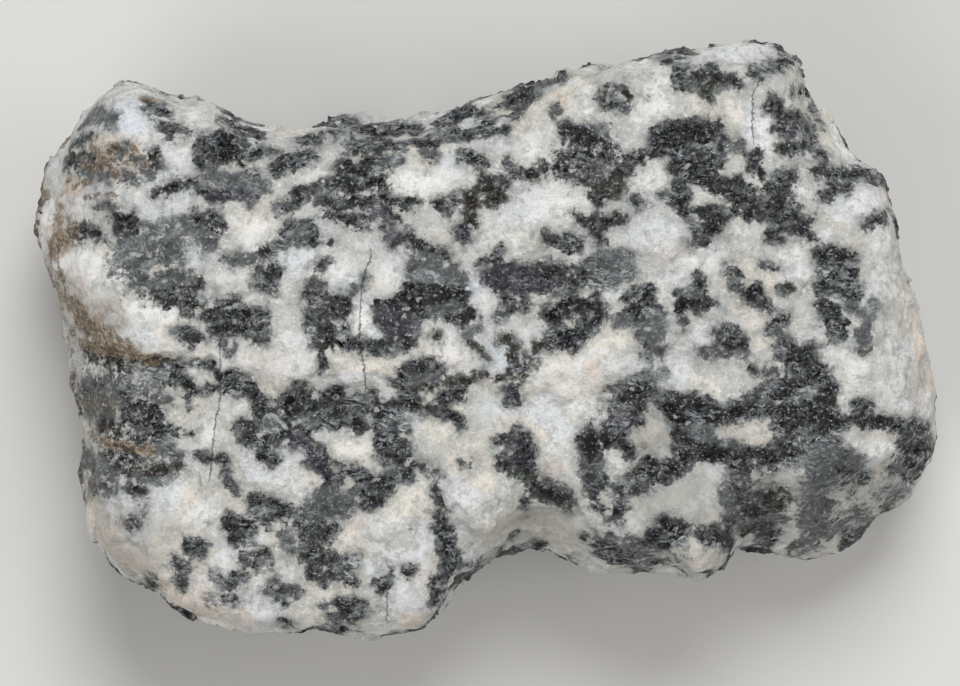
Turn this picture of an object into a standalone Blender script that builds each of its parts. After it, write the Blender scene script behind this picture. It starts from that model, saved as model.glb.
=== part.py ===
"""A hand specimen of diorite: one broken piece of coarse speckled rock, lying on its back.

Run with: blender --background --python part.py

The stone starts as a plate cut to its outline. Its sides are drawn in above and below their widest
level, its two broken faces are warped, scarps and hollows are let into the upper one, and the
flats that the crystals leave are pressed in all over. A level cut underneath makes the spot that
it rests on. X is the long way, Y the width and Z the thickness, with the origin at the middle of
the base.
"""

import random

import bmesh
import bpy
import numpy as np
from mathutils import Vector, kdtree, noise

MM = 0.001

# Driving dimensions, in millimetres like every size below
THICKNESS = 34.0
SPINE_HALF_LENGTH = 26.0
CUT_HEIGHT = 2.1
EDGE_LOSS = 0.3
FACE_COUNT = 8600

# The outline from above, clockwise from the left end
OUTLINE = [
    (-57.2, 14.2), (-57.0, 16.0), (-56.8, 18.0), (-56.3, 20.0), (-55.4, 22.8), (-54.4, 24.3),
    (-52.2, 26.3), (-51.2, 28.3), (-50.5, 29.1), (-49.2, 30.1), (-48.6, 30.9), (-46.6, 32.1),
    (-45.4, 32.8), (-43.5, 32.3), (-42.6, 32.6), (-41.4, 31.4), (-39.3, 30.4), (-37.2, 30.7),
    (-36.1, 30.4), (-34.2, 29.1), (-31.8, 27.5), (-29.5, 26.7), (-26.5, 26.0), (-24.3, 26.1),
    (-20.2, 26.4), (-17.0, 26.6), (-13.1, 27.2), (-10.3, 27.4), (-8.4, 27.2), (-6.8, 27.7),
    (-5.3, 28.1), (-4.2, 29.0), (-1.4, 30.2), (0.8, 30.2), (3.2, 31.0), (5.3, 32.4),
    (7.0, 33.0), (8.6, 33.2), (9.7, 34.3), (11.7, 34.8), (13.2, 34.6), (15.2, 35.1),
    (17.8, 34.6), (20.2, 35.1), (22.2, 36.2), (24.2, 36.9), (25.5, 36.4), (28.2, 36.3),
    (29.3, 37.3), (32.5, 37.3), (36.4, 37.0), (38.2, 35.8), (39.8, 34.6), (40.4, 33.4),
    (40.1, 30.5), (41.1, 30.1), (42.9, 28.3), (45.0, 25.6), (46.9, 22.5), (49.0, 20.9),
    (49.9, 19.9), (50.6, 17.6), (50.8, 15.6), (51.7, 13.4), (51.9, 10.4), (52.6, 8.4),
    (53.7, 7.2), (54.3, 4.8), (54.8, 2.8), (55.8, 0.5), (56.2, -3.0), (56.9, -6.6),
    (57.0, -8.6), (56.8, -12.4), (56.3, -15.4), (55.6, -18.5), (55.1, -20.2), (53.2, -21.9),
    (50.4, -23.9), (48.0, -25.2), (45.6, -26.2), (44.2, -27.8), (42.4, -28.1), (40.8, -27.1),
    (38.6, -27.9), (37.4, -27.7), (36.0, -26.6), (33.2, -25.7), (31.8, -26.6), (30.2, -28.0),
    (29.8, -29.9), (28.5, -30.8), (26.4, -30.8), (24.4, -29.6), (21.0, -29.8), (18.2, -30.0),
    (15.6, -29.4), (12.6, -28.9), (10.1, -28.1), (8.8, -26.5), (6.8, -25.7), (5.2, -25.3),
    (3.5, -26.6), (0.8, -27.9), (-2.4, -29.2), (-4.2, -30.8), (-5.3, -33.2), (-6.4, -35.3),
    (-8.2, -36.3), (-11.0, -36.7), (-13.8, -37.5), (-16.2, -37.0), (-19.0, -36.8), (-20.4, -36.1),
    (-23.0, -36.1), (-27.0, -36.6), (-30.0, -36.6), (-33.0, -35.7), (-37.0, -34.6), (-40.0, -33.2),
    (-43.0, -31.5), (-45.8, -29.7), (-48.4, -27.2), (-49.3, -25.2), (-49.8, -22.4), (-50.5, -19.5),
    (-51.4, -15.9), (-51.2, -14.8), (-50.4, -13.4), (-50.8, -9.8), (-51.9, -6.4), (-52.4, -3.8),
    (-53.2, -0.8), (-54.1, 3.4), (-55.0, 6.6), (-56.0, 9.4), (-56.9, 11.6),
]

# Stations round the rim: where, how far the upper edge is set back and how far it drops, the
# share of the thickness at which the side is widest, and how far the lower edge is set back
RIM_STATIONS = [
    ((-57.0, 16.0), 8.0, 5.5, 0.46, 6.0),
    ((-54.5, 4.0), 5.0, 4.5, 0.50, 5.0),
    ((-51.0, -11.0), 3.8, 3.6, 0.58, 5.5),
    ((-49.5, -24.0), 2.2, 1.8, 0.70, 7.0),
    ((-40.0, -33.0), 1.0, 0.8, 0.82, 8.0),
    ((-25.0, -36.3), 0.8, 0.7, 0.84, 6.0),
    ((-10.0, -36.6), 1.2, 1.2, 0.78, 7.0),
    ((-4.0, -31.0), 1.8, 1.8, 0.66, 5.0),
    ((6.0, -25.6), 4.6, 4.2, 0.48, 2.5),
    ((18.0, -29.8), 4.0, 3.8, 0.52, 4.0),
    ((28.5, -30.5), 1.6, 1.8, 0.66, 6.0),
    ((40.0, -27.4), 7.0, 7.5, 0.38, 3.0),
    ((51.0, -23.5), 7.5, 7.5, 0.36, 4.0),
    ((56.8, -9.0), 3.6, 4.0, 0.52, 6.5),
    ((54.5, 4.0), 4.2, 2.6, 0.60, 7.0),
    ((50.8, 16.0), 1.8, 1.6, 0.72, 6.0),
    ((44.0, 27.0), 4.6, 3.4, 0.54, 6.5),
    ((37.0, 36.8), 2.2, 2.6, 0.66, 7.5),
    ((22.0, 36.0), 1.6, 1.6, 0.72, 5.5),
    ((6.0, 32.6), 2.6, 2.2, 0.62, 3.5),
    ((-12.0, 27.2), 2.2, 2.0, 0.64, 2.0),
    ((-30.0, 26.8), 1.8, 1.8, 0.68, 2.5),
    ((-44.0, 32.5), 3.0, 3.2, 0.58, 6.0),
]
RIM_REACH = 20.0
EDGE_ROUNDING = 6.0

# Scarps in the upper face: a line with its low side on the right hand, how deep the step is and
# how far the low ground runs before it is level again
SCARPS = [
    ([(-39.5, -2.6), (-43.0, -2.2), (-46.5, -1.2), (-52.5, -1.6)], 1.9, 6.5),
    ([(-43.0, -13.8), (-46.0, -11.4), (-50.5, -10.4)], 1.8, 5.0),
    ([(32.2, -26.0), (31.8, -20.5), (30.4, -16.0)], 2.8, 10.0),
    ([(29.6, 1.6), (31.4, 2.2), (33.6, 1.0)], 1.4, 4.0),
    ([(11.5, -19.6), (8.0, -17.4), (4.6, -16.4)], 1.5, 4.5),
    ([(-22.4, -15.8), (-17.0, -16.6), (-12.0, -16.2)], 1.0, 3.5),
    ([(17.5, 16.4), (13.6, 15.4), (10.8, 15.8)], 1.1, 4.5),
    ([(-20.0, 4.0), (-24.0, 4.2), (-27.5, 3.2)], 1.0, 3.0),
    ([(-32.4, 21.0), (-35.6, 25.4), (-31.6, 26.2)], 0.9, 4.0),
]
SCARP_END_TAPER = 2.0

# Lumps, or hollows where the height is below zero: middle, radius along X and Y, height
LUMPS = [
    ((31.2, 35.4), (3.4, 2.6), 1.5),
    ((26.8, 35.2), (1.9, 1.9), 0.9),
    ((36.4, 34.6), (2.6, 1.6), -0.9),
    ((29.6, 33.0), (3.0, 1.6), -1.1),
    ((25.4, 22.0), (6.0, 5.4), -1.2),
    ((27.6, 18.2), (2.6, 2.2), 0.9),
    ((36.6, 15.6), (4.0, 3.6), -1.2),
    ((33.6, 26.6), (2.4, 3.4), 0.8),
    ((43.6, 8.0), (3.6, 5.4), -1.0),
    ((20.9, -11.6), (2.2, 4.0), 1.3),
    ((27.2, -28.0), (3.2, 2.8), 1.2),
    ((36.4, -17.8), (3.2, 1.8), 0.9),
    ((39.0, -6.6), (4.6, 4.6), -1.0),
    ((10.2, -14.6), (3.4, 3.6), 1.1),
    ((16.8, -17.4), (2.4, 2.6), 1.1),
    ((13.9, -18.0), (1.6, 4.6), -1.2),
    ((-1.0, -20.5), (4.4, 5.0), 1.0),
    ((-5.4, -24.6), (1.6, 4.8), -1.1),
    ((-11.0, -23.6), (5.0, 4.4), 0.9),
    ((-17.6, -13.6), (3.2, 2.6), 0.9),
    ((-24.0, -18.2), (3.6, 3.0), 0.9),
    ((-14.0, 18.6), (6.0, 4.0), -1.0),
    ((-7.6, 20.4), (4.4, 3.0), 0.9),
    ((-34.0, 22.6), (3.6, 4.0), -1.1),
    ((-29.4, 14.2), (4.0, 3.2), 1.0),
    ((-36.4, 28.2), (3.0, 2.0), 0.8),
    ((-44.6, 28.6), (3.0, 3.2), 1.0),
    ((-49.0, 8.6), (4.6, 3.4), 1.4),
    ((-24.0, 9.0), (5.0, 3.4), 0.6),
    ((14.0, 22.0), (3.6, 4.4), -1.0),
    ((9.0, 17.0), (4.6, 3.4), 0.8),
    ((9.0, 3.4), (5.6, 2.2), -0.8),
    ((12.6, -4.0), (7.4, 4.4), 1.1),
]

# Broad warp of the two broken faces: size of the swells and how high they are
FACE_SWELL, FACE_WARP = 24.0, 1.5
BASE_SWELL, BASE_WARP = 17.0, 1.3
BASE_DISH = 3.2

# Broad plane breaks that bound the underside: a point on each and the way it faces
BREAKS = [
    ((-48.0, 5.0, 5.0), (-0.74, -0.08, -0.66)),
    ((-44.0, -22.0, 6.0), (-0.56, -0.56, -0.61)),
    ((-28.0, -29.0, 5.0), (-0.06, -0.80, -0.60)),
    ((22.0, -23.5, 5.0), (0.06, -0.82, -0.57)),
    ((44.5, -21.0, 6.0), (0.48, -0.52, -0.72)),
    ((48.5, -6.0, 5.0), (0.76, -0.10, -0.64)),
    ((43.0, 18.0, 6.0), (0.64, 0.48, -0.60)),
    ((27.0, 29.0, 4.5), (-0.06, 0.80, -0.60)),
    ((-43.0, 25.0, 6.0), (-0.40, 0.66, -0.64)),
    ((-22.0, 0.0, 1.5), (-0.17, 0.03, -0.98)),
    ((25.0, 0.0, 1.5), (0.15, -0.05, -0.98)),
    ((0.0, 15.0, 1.5), (0.03, 0.22, -0.97)),
    ((0.0, -16.0, 1.5), (-0.04, -0.20, -0.98)),
]

# The large planes that the hammer left on the sides: typical size, tilt as a share, step height
SIDE_PLANES = {"size": 15.0, "tilt": 0.2, "step": 0.9, "seed": 5}
SIDE_PLANES_LIMIT = 2.0
SHARE_NEAR_TOP = 0.35

# The flats that crystals leave on a break: typical size, tilt as a share and step height
CHUNKS = {"size": 8.5, "tilt": 0.13, "step": 0.42, "seed": 3}
CRYSTALS = {"size": 4.2, "tilt": 0.15, "step": 0.22, "seed": 8}

FLATS_LIMIT = 1.1

# How far the sides may stand out past the outline
PAST_OUTLINE = 0.3

VOXEL = 1.15


def clear_scene():
    for thing in list(bpy.data.objects):
        bpy.data.objects.remove(thing, do_unlink=True)


def new_collection(name):
    made = bpy.data.collections.new(name)
    bpy.context.scene.collection.children.link(made)
    return made


def points_of(mesh):
    """The mesh's points in millimetres, one row each."""
    flat = np.empty(len(mesh.vertices) * 3)
    mesh.vertices.foreach_get("co", flat)
    return flat.reshape(-1, 3) / MM


def move_points(mesh, points):
    mesh.vertices.foreach_set("co", (points * MM).ravel())
    mesh.update()


def normals_of(mesh):
    flat = np.empty(len(mesh.vertices) * 3)
    mesh.vertices.foreach_get("normal", flat)
    return flat.reshape(-1, 3)


def smooth_step(share):
    share = np.clip(share, 0.0, 1.0)
    return share * share * (3.0 - 2.0 * share)


def outline_plate(collection):
    """A plate of the outline's shape, from a flat filled curve. It stands on Z = 0."""
    curve = bpy.data.curves.new("outline", "CURVE")
    curve.dimensions = "2D"
    curve.fill_mode = "BOTH"
    curve.extrude = THICKNESS / 2 * MM
    spline = curve.splines.new("POLY")
    spline.points.add(len(OUTLINE) - 1)
    for point, (x, y) in zip(spline.points, OUTLINE):
        point.co = (x * MM, y * MM, 0.0, 1.0)
    spline.use_cyclic_u = True
    plate = bpy.data.objects.new("plate", curve)
    plate.location.z = THICKNESS / 2 * MM
    collection.objects.link(plate)
    return plate


def baked_copy(thing, name, collection):
    """A mesh object of what this one's curve or modifiers make, in world space. The old one goes."""
    bpy.context.view_layer.update()
    graph = bpy.context.evaluated_depsgraph_get()
    mesh = bpy.data.meshes.new_from_object(thing.evaluated_get(graph))
    mesh.transform(thing.matrix_world)
    bpy.data.objects.remove(thing, do_unlink=True)
    mesh.name = name
    made = bpy.data.objects.new(name, mesh)
    collection.objects.link(made)
    return made


def weld(mesh):
    edit = bmesh.new()
    edit.from_mesh(mesh)
    bmesh.ops.remove_doubles(edit, verts=edit.verts, dist=0.01 * MM)
    bmesh.ops.recalc_face_normals(edit, faces=edit.faces)
    edit.to_mesh(mesh)
    edit.free()


def remeshed(thing, voxel, collection):
    """The same body as an even net of small faces."""
    modifier = thing.modifiers.new("even_net", "REMESH")
    modifier.mode = "VOXEL"
    modifier.voxel_size = voxel * MM
    modifier.adaptivity = 0.0
    return baked_copy(thing, thing.name, collection)


def rim_distance(flat_points):
    """How far each point lies from the outline, seen from above."""
    starts = np.array(OUTLINE)
    ways = np.roll(starts, -1, axis=0) - starts
    nearest = np.full(len(flat_points), 1e9)
    for start, way in zip(starts, ways):
        offset = flat_points - start
        along = np.clip(offset @ way / (way @ way), 0.0, 1.0)
        gap = np.linalg.norm(offset - along[:, None] * way, axis=1)
        nearest = np.minimum(nearest, gap)
    return nearest


def rim_values(flat_points):
    """The four side values at each point, blended from the stations near it."""
    places = np.array([station[0] for station in RIM_STATIONS])
    values = np.array([station[1:] for station in RIM_STATIONS])
    gaps = np.linalg.norm(flat_points[:, None] - places[None], axis=2)
    weights = 1.0 / (gaps + 2.0) ** 4
    weights /= weights.sum(axis=1, keepdims=True)
    return (weights @ values).T


def noise_at(points, size, offset):
    """Smooth noise between about -1 and 1, with swells of this size."""
    shift = Vector((offset, -offset, 0.5 * offset))
    return np.array([noise.noise(Vector(p) / size + shift) for p in points])


def scarp_drop(flat_points):
    """How far the scarps let each point of the upper face down."""
    drop = np.zeros(len(flat_points))
    for line, depth, reach in SCARPS:
        line = np.array(line)
        low = np.full(len(flat_points), 1e9)
        for start, end in zip(line[:-1], line[1:]):
            way = end - start
            length = np.linalg.norm(way)
            way = way / length
            offset = flat_points - start
            along = offset @ way
            beside = way[1] * offset[:, 0] - way[0] * offset[:, 1]
            past = np.maximum(np.maximum(-along, along - length), 0.0)
            near = (beside < 0.0) & (past < SCARP_END_TAPER)
            low = np.where(near, np.minimum(low, -beside + past * reach / SCARP_END_TAPER), low)
        drop += depth * np.clip(1.0 - low / reach, 0.0, 1.0) ** 1.4
    return drop


def lump_height(flat_points):
    height = np.zeros(len(flat_points))
    for middle, radius, top in LUMPS:
        away = np.linalg.norm((flat_points - middle) / np.array(radius), axis=1)
        height += top * smooth_step(1.35 - away)
    return height


def shape_body(mesh):
    """Turns the plate into the stone's main form."""
    points = points_of(mesh)
    flat = points[:, :2].copy()
    share = np.clip(points[:, 2] / THICKNESS, 0.0, 1.0)
    depth_in = rim_distance(flat)
    top_set_back, top_drop, widest, base_set_back = rim_values(flat)

    above = np.clip((share - widest) / (1.0 - widest), 0.0, 1.0)
    below = np.clip((widest - share) / widest, 0.0, 1.0)
    set_back = top_set_back * above**1.1 + base_set_back * below**1.4
    set_back = (set_back - EDGE_LOSS) * np.clip(1.0 - depth_in / RIM_REACH, 0.0, 1.0)
    spine = np.zeros_like(flat)
    spine[:, 0] = np.clip(flat[:, 0], -SPINE_HALF_LENGTH, SPINE_HALF_LENGTH)
    inward = spine - flat
    inward /= np.maximum(np.linalg.norm(inward, axis=1, keepdims=True), 1e-6)

    edge = np.clip(1.0 - depth_in / EDGE_ROUNDING, 0.0, 1.0)
    face = np.column_stack([flat, np.zeros(len(flat))])
    upper = THICKNESS - top_drop * edge**1.4 + FACE_WARP * noise_at(face, FACE_SWELL, 3.1)
    upper += lump_height(flat) - scarp_drop(flat)
    outer = np.clip(1.0 - depth_in / RIM_REACH, 0.0, 1.0)
    lower = BASE_DISH * outer**2 + BASE_WARP * noise_at(face, BASE_SWELL, 9.7)

    body = np.empty_like(points)
    body[:, :2] = flat + inward * set_back[:, None]
    body[:, 2] = lower + share * (upper - lower)
    for place, facing in BREAKS:
        facing = np.array(facing) / np.linalg.norm(facing)
        beyond = np.maximum((body - np.array(place)) @ facing, 0.0)
        body -= beyond[:, None] * facing
    move_points(mesh, body)


def crystal_flats(points, size, tilt, step, seed):
    """Each point takes the height of its crystal's own tilted flat, which gives small ledges."""
    chance = random.Random(seed)
    low, high = points.min(axis=0) - size, points.max(axis=0) + size
    count = int(np.prod((high - low) / size))
    middles = [[chance.uniform(a, b) for a, b in zip(low, high)] for _ in range(count)]
    tilts = np.array([[chance.gauss(0.0, tilt) for _ in range(3)] for _ in range(count)])
    steps = np.array([chance.uniform(-step, step) for _ in range(count)])
    tree = kdtree.KDTree(count)
    for index, middle in enumerate(middles):
        tree.insert(middle, index)
    tree.balance()
    owner = np.array([tree.find(point)[1] for point in points])
    offset = points - np.array(middles)[owner]
    return np.einsum("ij,ij->i", offset, tilts[owner]) + steps[owner]


def roughen(mesh):
    """Large broken planes on the sides, and the flats of the crystals all over."""
    points, normals = points_of(mesh), normals_of(mesh)
    on_side = 1.0 - np.abs(normals[:, 2])
    low_down = smooth_step(2.4 - 4.0 * points[:, 2] / THICKNESS)
    planes = np.clip(crystal_flats(points, **SIDE_PLANES), -SIDE_PLANES_LIMIT, SIDE_PLANES_LIMIT)
    height = planes * on_side * (SHARE_NEAR_TOP + (1.0 - SHARE_NEAR_TOP) * low_down)
    flats = crystal_flats(points, **CHUNKS) + crystal_flats(points, **CRYSTALS)
    height += np.clip(flats, -FLATS_LIMIT, FLATS_LIMIT)
    at_outline = np.clip(on_side * 1.6, 0.0, 1.0) * (points[:, 2] > 0.35 * THICKNESS)
    height -= np.maximum(height - PAST_OUTLINE, 0.0) * at_outline
    move_points(mesh, points + normals * height[:, None])


def relax(mesh, rounds):
    """Takes the saw teeth off the net without moving its forms."""
    edit = bmesh.new()
    edit.from_mesh(mesh)
    for _ in range(rounds):
        bmesh.ops.smooth_vert(
            edit, verts=edit.verts, factor=0.5, use_axis_x=True, use_axis_y=True, use_axis_z=True
        )
    edit.to_mesh(mesh)
    edit.free()


def simplified(thing, faces, collection):
    """Fewer, larger facets where the surface is plain."""
    triangles = sum(len(polygon.vertices) - 2 for polygon in thing.data.polygons)
    modifier = thing.modifiers.new("fewer_facets", "DECIMATE")
    modifier.ratio = min(1.0, faces / triangles)
    return baked_copy(thing, thing.name, collection)


def cut_resting_spot(thing, collection):
    """Takes off what lies under the cut, so that the stone rests on a flat, and sets it on Z = 0."""
    points = points_of(thing.data)
    points[:, 2] -= points[:, 2].min() + CUT_HEIGHT
    move_points(thing.data, points)
    edit = bmesh.new()
    bmesh.ops.create_cube(edit, size=1.0)
    bmesh.ops.scale(edit, verts=edit.verts, vec=(200 * MM, 200 * MM, 40 * MM))
    bmesh.ops.translate(edit, verts=edit.verts, vec=(0, 0, -20 * MM))
    mesh = bpy.data.meshes.new("ground")
    edit.to_mesh(mesh)
    edit.free()
    ground = bpy.data.objects.new("ground", mesh)
    collection.objects.link(ground)
    modifier = thing.modifiers.new("resting_spot", "BOOLEAN")
    modifier.operation = "DIFFERENCE"
    modifier.solver = "EXACT"
    modifier.object = ground
    cut = baked_copy(thing, thing.name, collection)
    bpy.data.objects.remove(ground, do_unlink=True)
    edit = bmesh.new()
    edit.from_mesh(cut.data)
    bmesh.ops.triangulate(edit, faces=edit.faces)
    edit.to_mesh(cut.data)
    edit.free()
    return cut


def centre_on_base(mesh):
    points = points_of(mesh)
    middle = (points.min(axis=0) + points.max(axis=0)) / 2
    middle[2] = 0.0
    move_points(mesh, points - middle)


def stone_material():
    material = bpy.data.materials.new("diorite")
    material.use_nodes = True
    shader = material.node_tree.nodes["Principled BSDF"]
    shader.inputs["Base Color"].default_value = (0.42, 0.42, 0.40, 1.0)
    shader.inputs["Roughness"].default_value = 0.7
    shader.inputs["Metallic"].default_value = 0.0
    return material


def main():
    clear_scene()
    collection = new_collection("diorite_specimen")
    plate = baked_copy(outline_plate(collection), "diorite_stone", collection)
    weld(plate.data)
    stone = remeshed(plate, VOXEL, collection)
    shape_body(stone.data)
    stone = remeshed(stone, VOXEL, collection)
    relax(stone.data, rounds=2)
    roughen(stone.data)
    stone = remeshed(stone, VOXEL, collection)
    relax(stone.data, rounds=1)
    stone = simplified(stone, FACE_COUNT, collection)
    stone = cut_resting_spot(stone, collection)
    centre_on_base(stone.data)
    stone.data.materials.clear()
    stone.data.materials.append(stone_material())


main()
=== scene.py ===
# %% [markdown]
# # A diorite hand specimen
# Diorite is an igneous rock that cooled slowly underground, so it is a close mass of crystals large
# enough to see: pale plagioclase feldspar and near-black hornblende. This specimen is one block, about
# 114 mm long, broken out with a hammer, with one weathered end. It lies on its back and is seen from
# straight above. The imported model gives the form. Here the surface gets its crystals, its colours and
# its light.

import math
import random

import bpy
import numpy as np
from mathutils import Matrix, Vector, kdtree, noise


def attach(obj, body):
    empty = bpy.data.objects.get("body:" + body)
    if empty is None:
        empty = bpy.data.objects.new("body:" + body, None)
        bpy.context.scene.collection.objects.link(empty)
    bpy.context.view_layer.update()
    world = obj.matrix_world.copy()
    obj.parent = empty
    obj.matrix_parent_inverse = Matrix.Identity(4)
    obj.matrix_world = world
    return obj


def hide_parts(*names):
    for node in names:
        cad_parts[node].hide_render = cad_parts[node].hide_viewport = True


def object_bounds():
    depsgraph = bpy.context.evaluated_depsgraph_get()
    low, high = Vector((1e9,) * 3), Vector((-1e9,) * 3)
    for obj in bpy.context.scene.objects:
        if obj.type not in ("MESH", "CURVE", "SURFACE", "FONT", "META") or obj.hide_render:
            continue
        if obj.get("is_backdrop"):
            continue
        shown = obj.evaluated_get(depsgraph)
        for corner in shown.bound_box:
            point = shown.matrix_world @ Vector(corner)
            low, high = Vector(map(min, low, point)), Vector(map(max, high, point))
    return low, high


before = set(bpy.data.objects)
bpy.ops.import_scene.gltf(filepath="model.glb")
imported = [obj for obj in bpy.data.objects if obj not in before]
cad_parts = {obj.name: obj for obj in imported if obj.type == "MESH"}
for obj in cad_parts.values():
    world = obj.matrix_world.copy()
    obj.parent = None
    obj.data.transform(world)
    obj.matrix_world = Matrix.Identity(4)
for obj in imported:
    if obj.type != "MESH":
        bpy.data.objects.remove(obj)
cad_low, cad_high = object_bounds()
print("packed model, m:", [round(side, 4) for side in cad_high - cad_low])

# %% [markdown]
# ## Units and colours
# The stone is small, so every size below is in millimetres, and MM turns it to metres. Colours are
# written as the sRGB hex values that a picture shows, and one function turns them to the linear
# values that Blender works in.

# %% Millimetres and colours
MM = 0.001


def linear(hex_colour):
    """The linear colour of an sRGB hex value."""
    shares = [int(hex_colour[start : start + 2], 16) / 255 for start in (1, 3, 5)]
    return [s / 12.92 if s <= 0.04045 else ((s + 0.055) / 1.055) ** 2.4 for s in shares]


def smooth_step(share):
    share = np.clip(share, 0.0, 1.0)
    return share * share * (3.0 - 2.0 * share)


def ramp(values, start, over):
    """0 at the start, 1 at start plus over and beyond. A negative over makes it rise downwards."""
    return smooth_step((values - start) / over)


print("the sRGB grey #808080 in linear light:", round(linear("#808080")[0], 3))

# %% [markdown]
# ## Where the hornblende is
# Dark hornblende grew between the pale crystals in ragged clots and strings. No procedural pattern
# would put them where this stone has them, so each clot on the displayed face is drawn as a few
# strokes. A stroke is a row of numbers: its half-width, then x and y of each of its points, in mm
# from the middle of the stone. The nearest stroke then gives every point of the stone its distance
# to the dark mineral. The strokes are grouped by tone, because a crystal that faces the light looks
# grey and one in a hollow looks black.

# %% Tones of the dark strokes
PLAIN, BLACK, GREY, BROWN, VIOLET, OLIVE = range(6)
print("tones: plain and", OLIVE, "others")

# %% Dark strokes, upper left
UPPER_LEFT = {
    VIOLET: [
        (1, -34, 18, -31.5, 18.3, -29.5, 18),
    ],
    PLAIN: [
        (1, -54.3, 23.5, -53, 22.3, -51.5, 21.7, -50.3, 22.5), (0.6, -51.4, 25, -50, 25.6),
        (0.6, -41.5, 23.3, -41.4, 21.8), (0.8, -42.3, 29.2, -41, 28.9, -40.5, 28.6),
        (0.85, -40.5, 26.8, -39.3, 26.6, -39.6, 25.6), (0.4, -37, 25.6, -36.8, 25.5),
        (1.4, -35.2, 24.5, -33.5, 24.8, -31.5, 25, -31.3, 23.2),
        (1.2, -31.3, 23.2, -33.5, 22.8, -35.3, 22.5),
        (0.7, -41.5, 18.3, -40, 18.8, -38.5, 19.5, -36.5, 19.3, -34.8, 18.8),
        (0.7, -36.5, 15.5, -35, 15.2, -33.8, 15.5, -33.6, 14.3), (0.7, -51.2, 13, -50.5, 14, -49, 13.3),
        (0.9, -46.5, 15.3, -44.8, 15.2, -44.5, 13.8, -46, 13.8), (0.8, -36, 6.8, -37.2, 6, -40, 5.8),
        (0.7, -28, 11, -26.5, 11.2, -25.8, 12), (0.8, -28.3, 8.5, -27, 8, -26.2, 9.3),
        (0.8, -28.5, 6.8, -26.8, 6.5), (0.8, -25, 13, -24.6, 14.3, -23, 14, -22, 13.8, -21.7, 12.8),
        (0.8, -21.7, 12.8, -24.3, 12.3), (0.5, -21.5, 12, -20.3, 12, -19.3, 12.3),
        (0.6, -20.8, 9, -19.9, 9.5), (0.8, -26, 16, -24.8, 16.5, -23.5, 17, -22, 18, -21.5, 18.7),
        (0.8, -21.5, 18.7, -24, 18.3), (0.9, -26.4, 21.5, -25.3, 21.8, -24.2, 22, -23, 22.5, -22, 23),
        (0.6, -23.5, 24.8, -22, 25, -20.5, 25.6, -18.5, 25.9), (0.3, -29.7, 22.8, -28, 23.2),
        (0.5, -30, 23.9, -28, 23.8, -27, 23.3),
    ],
    BLACK: [
        (0.5, -33, 27.5, -31, 26.6, -29.5, 26.3, -28, 25.8), (0.5, -30, 20.7, -28.9, 20.7),
    ],
    GREY: [
        (0.9, -50.5, 28.8, -48.8, 28.3, -47.3, 27.5), (0.7, -52.2, 26.2, -53.8, 24.5),
        (0.4, -46.8, 23.6, -45, 23.9, -44.4, 22.6), (0.7, -50.6, 20.9, -49, 20.6),
        (0.3, -51.8, 21.8, -50.2, 22.4, -48.4, 21.6), (0.25, -47.8, 20.2, -45.8, 20.6, -43.8, 20),
        (0.6, -43.4, 22.2, -42.4, 20.6), (0.5, -48.4, 16.8, -46.4, 16.6),
        (1, -34.5, 20.5, -33, 19.8, -31, 20, -29.5, 19.5, -28.3, 19),
        (0.9, -37.5, 14.3, -36, 13.5, -35, 12.2),
        (0.95, -42, 13.5, -40, 14, -38.8, 13, -41, 12, -43.5, 11.8),
        (0.9, -43.5, 11.8, -45.5, 11.8, -45.5, 9.5, -43, 10, -41, 10.2), (0.9, -41, 10.2, -39, 10.8),
        (0.7, -44, 7.8, -41.5, 7, -39.5, 7.5, -37.5, 7.5, -36, 6.8),
    ],
}
print("upper left:", sum(map(len, UPPER_LEFT.values())), "strokes")

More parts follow.
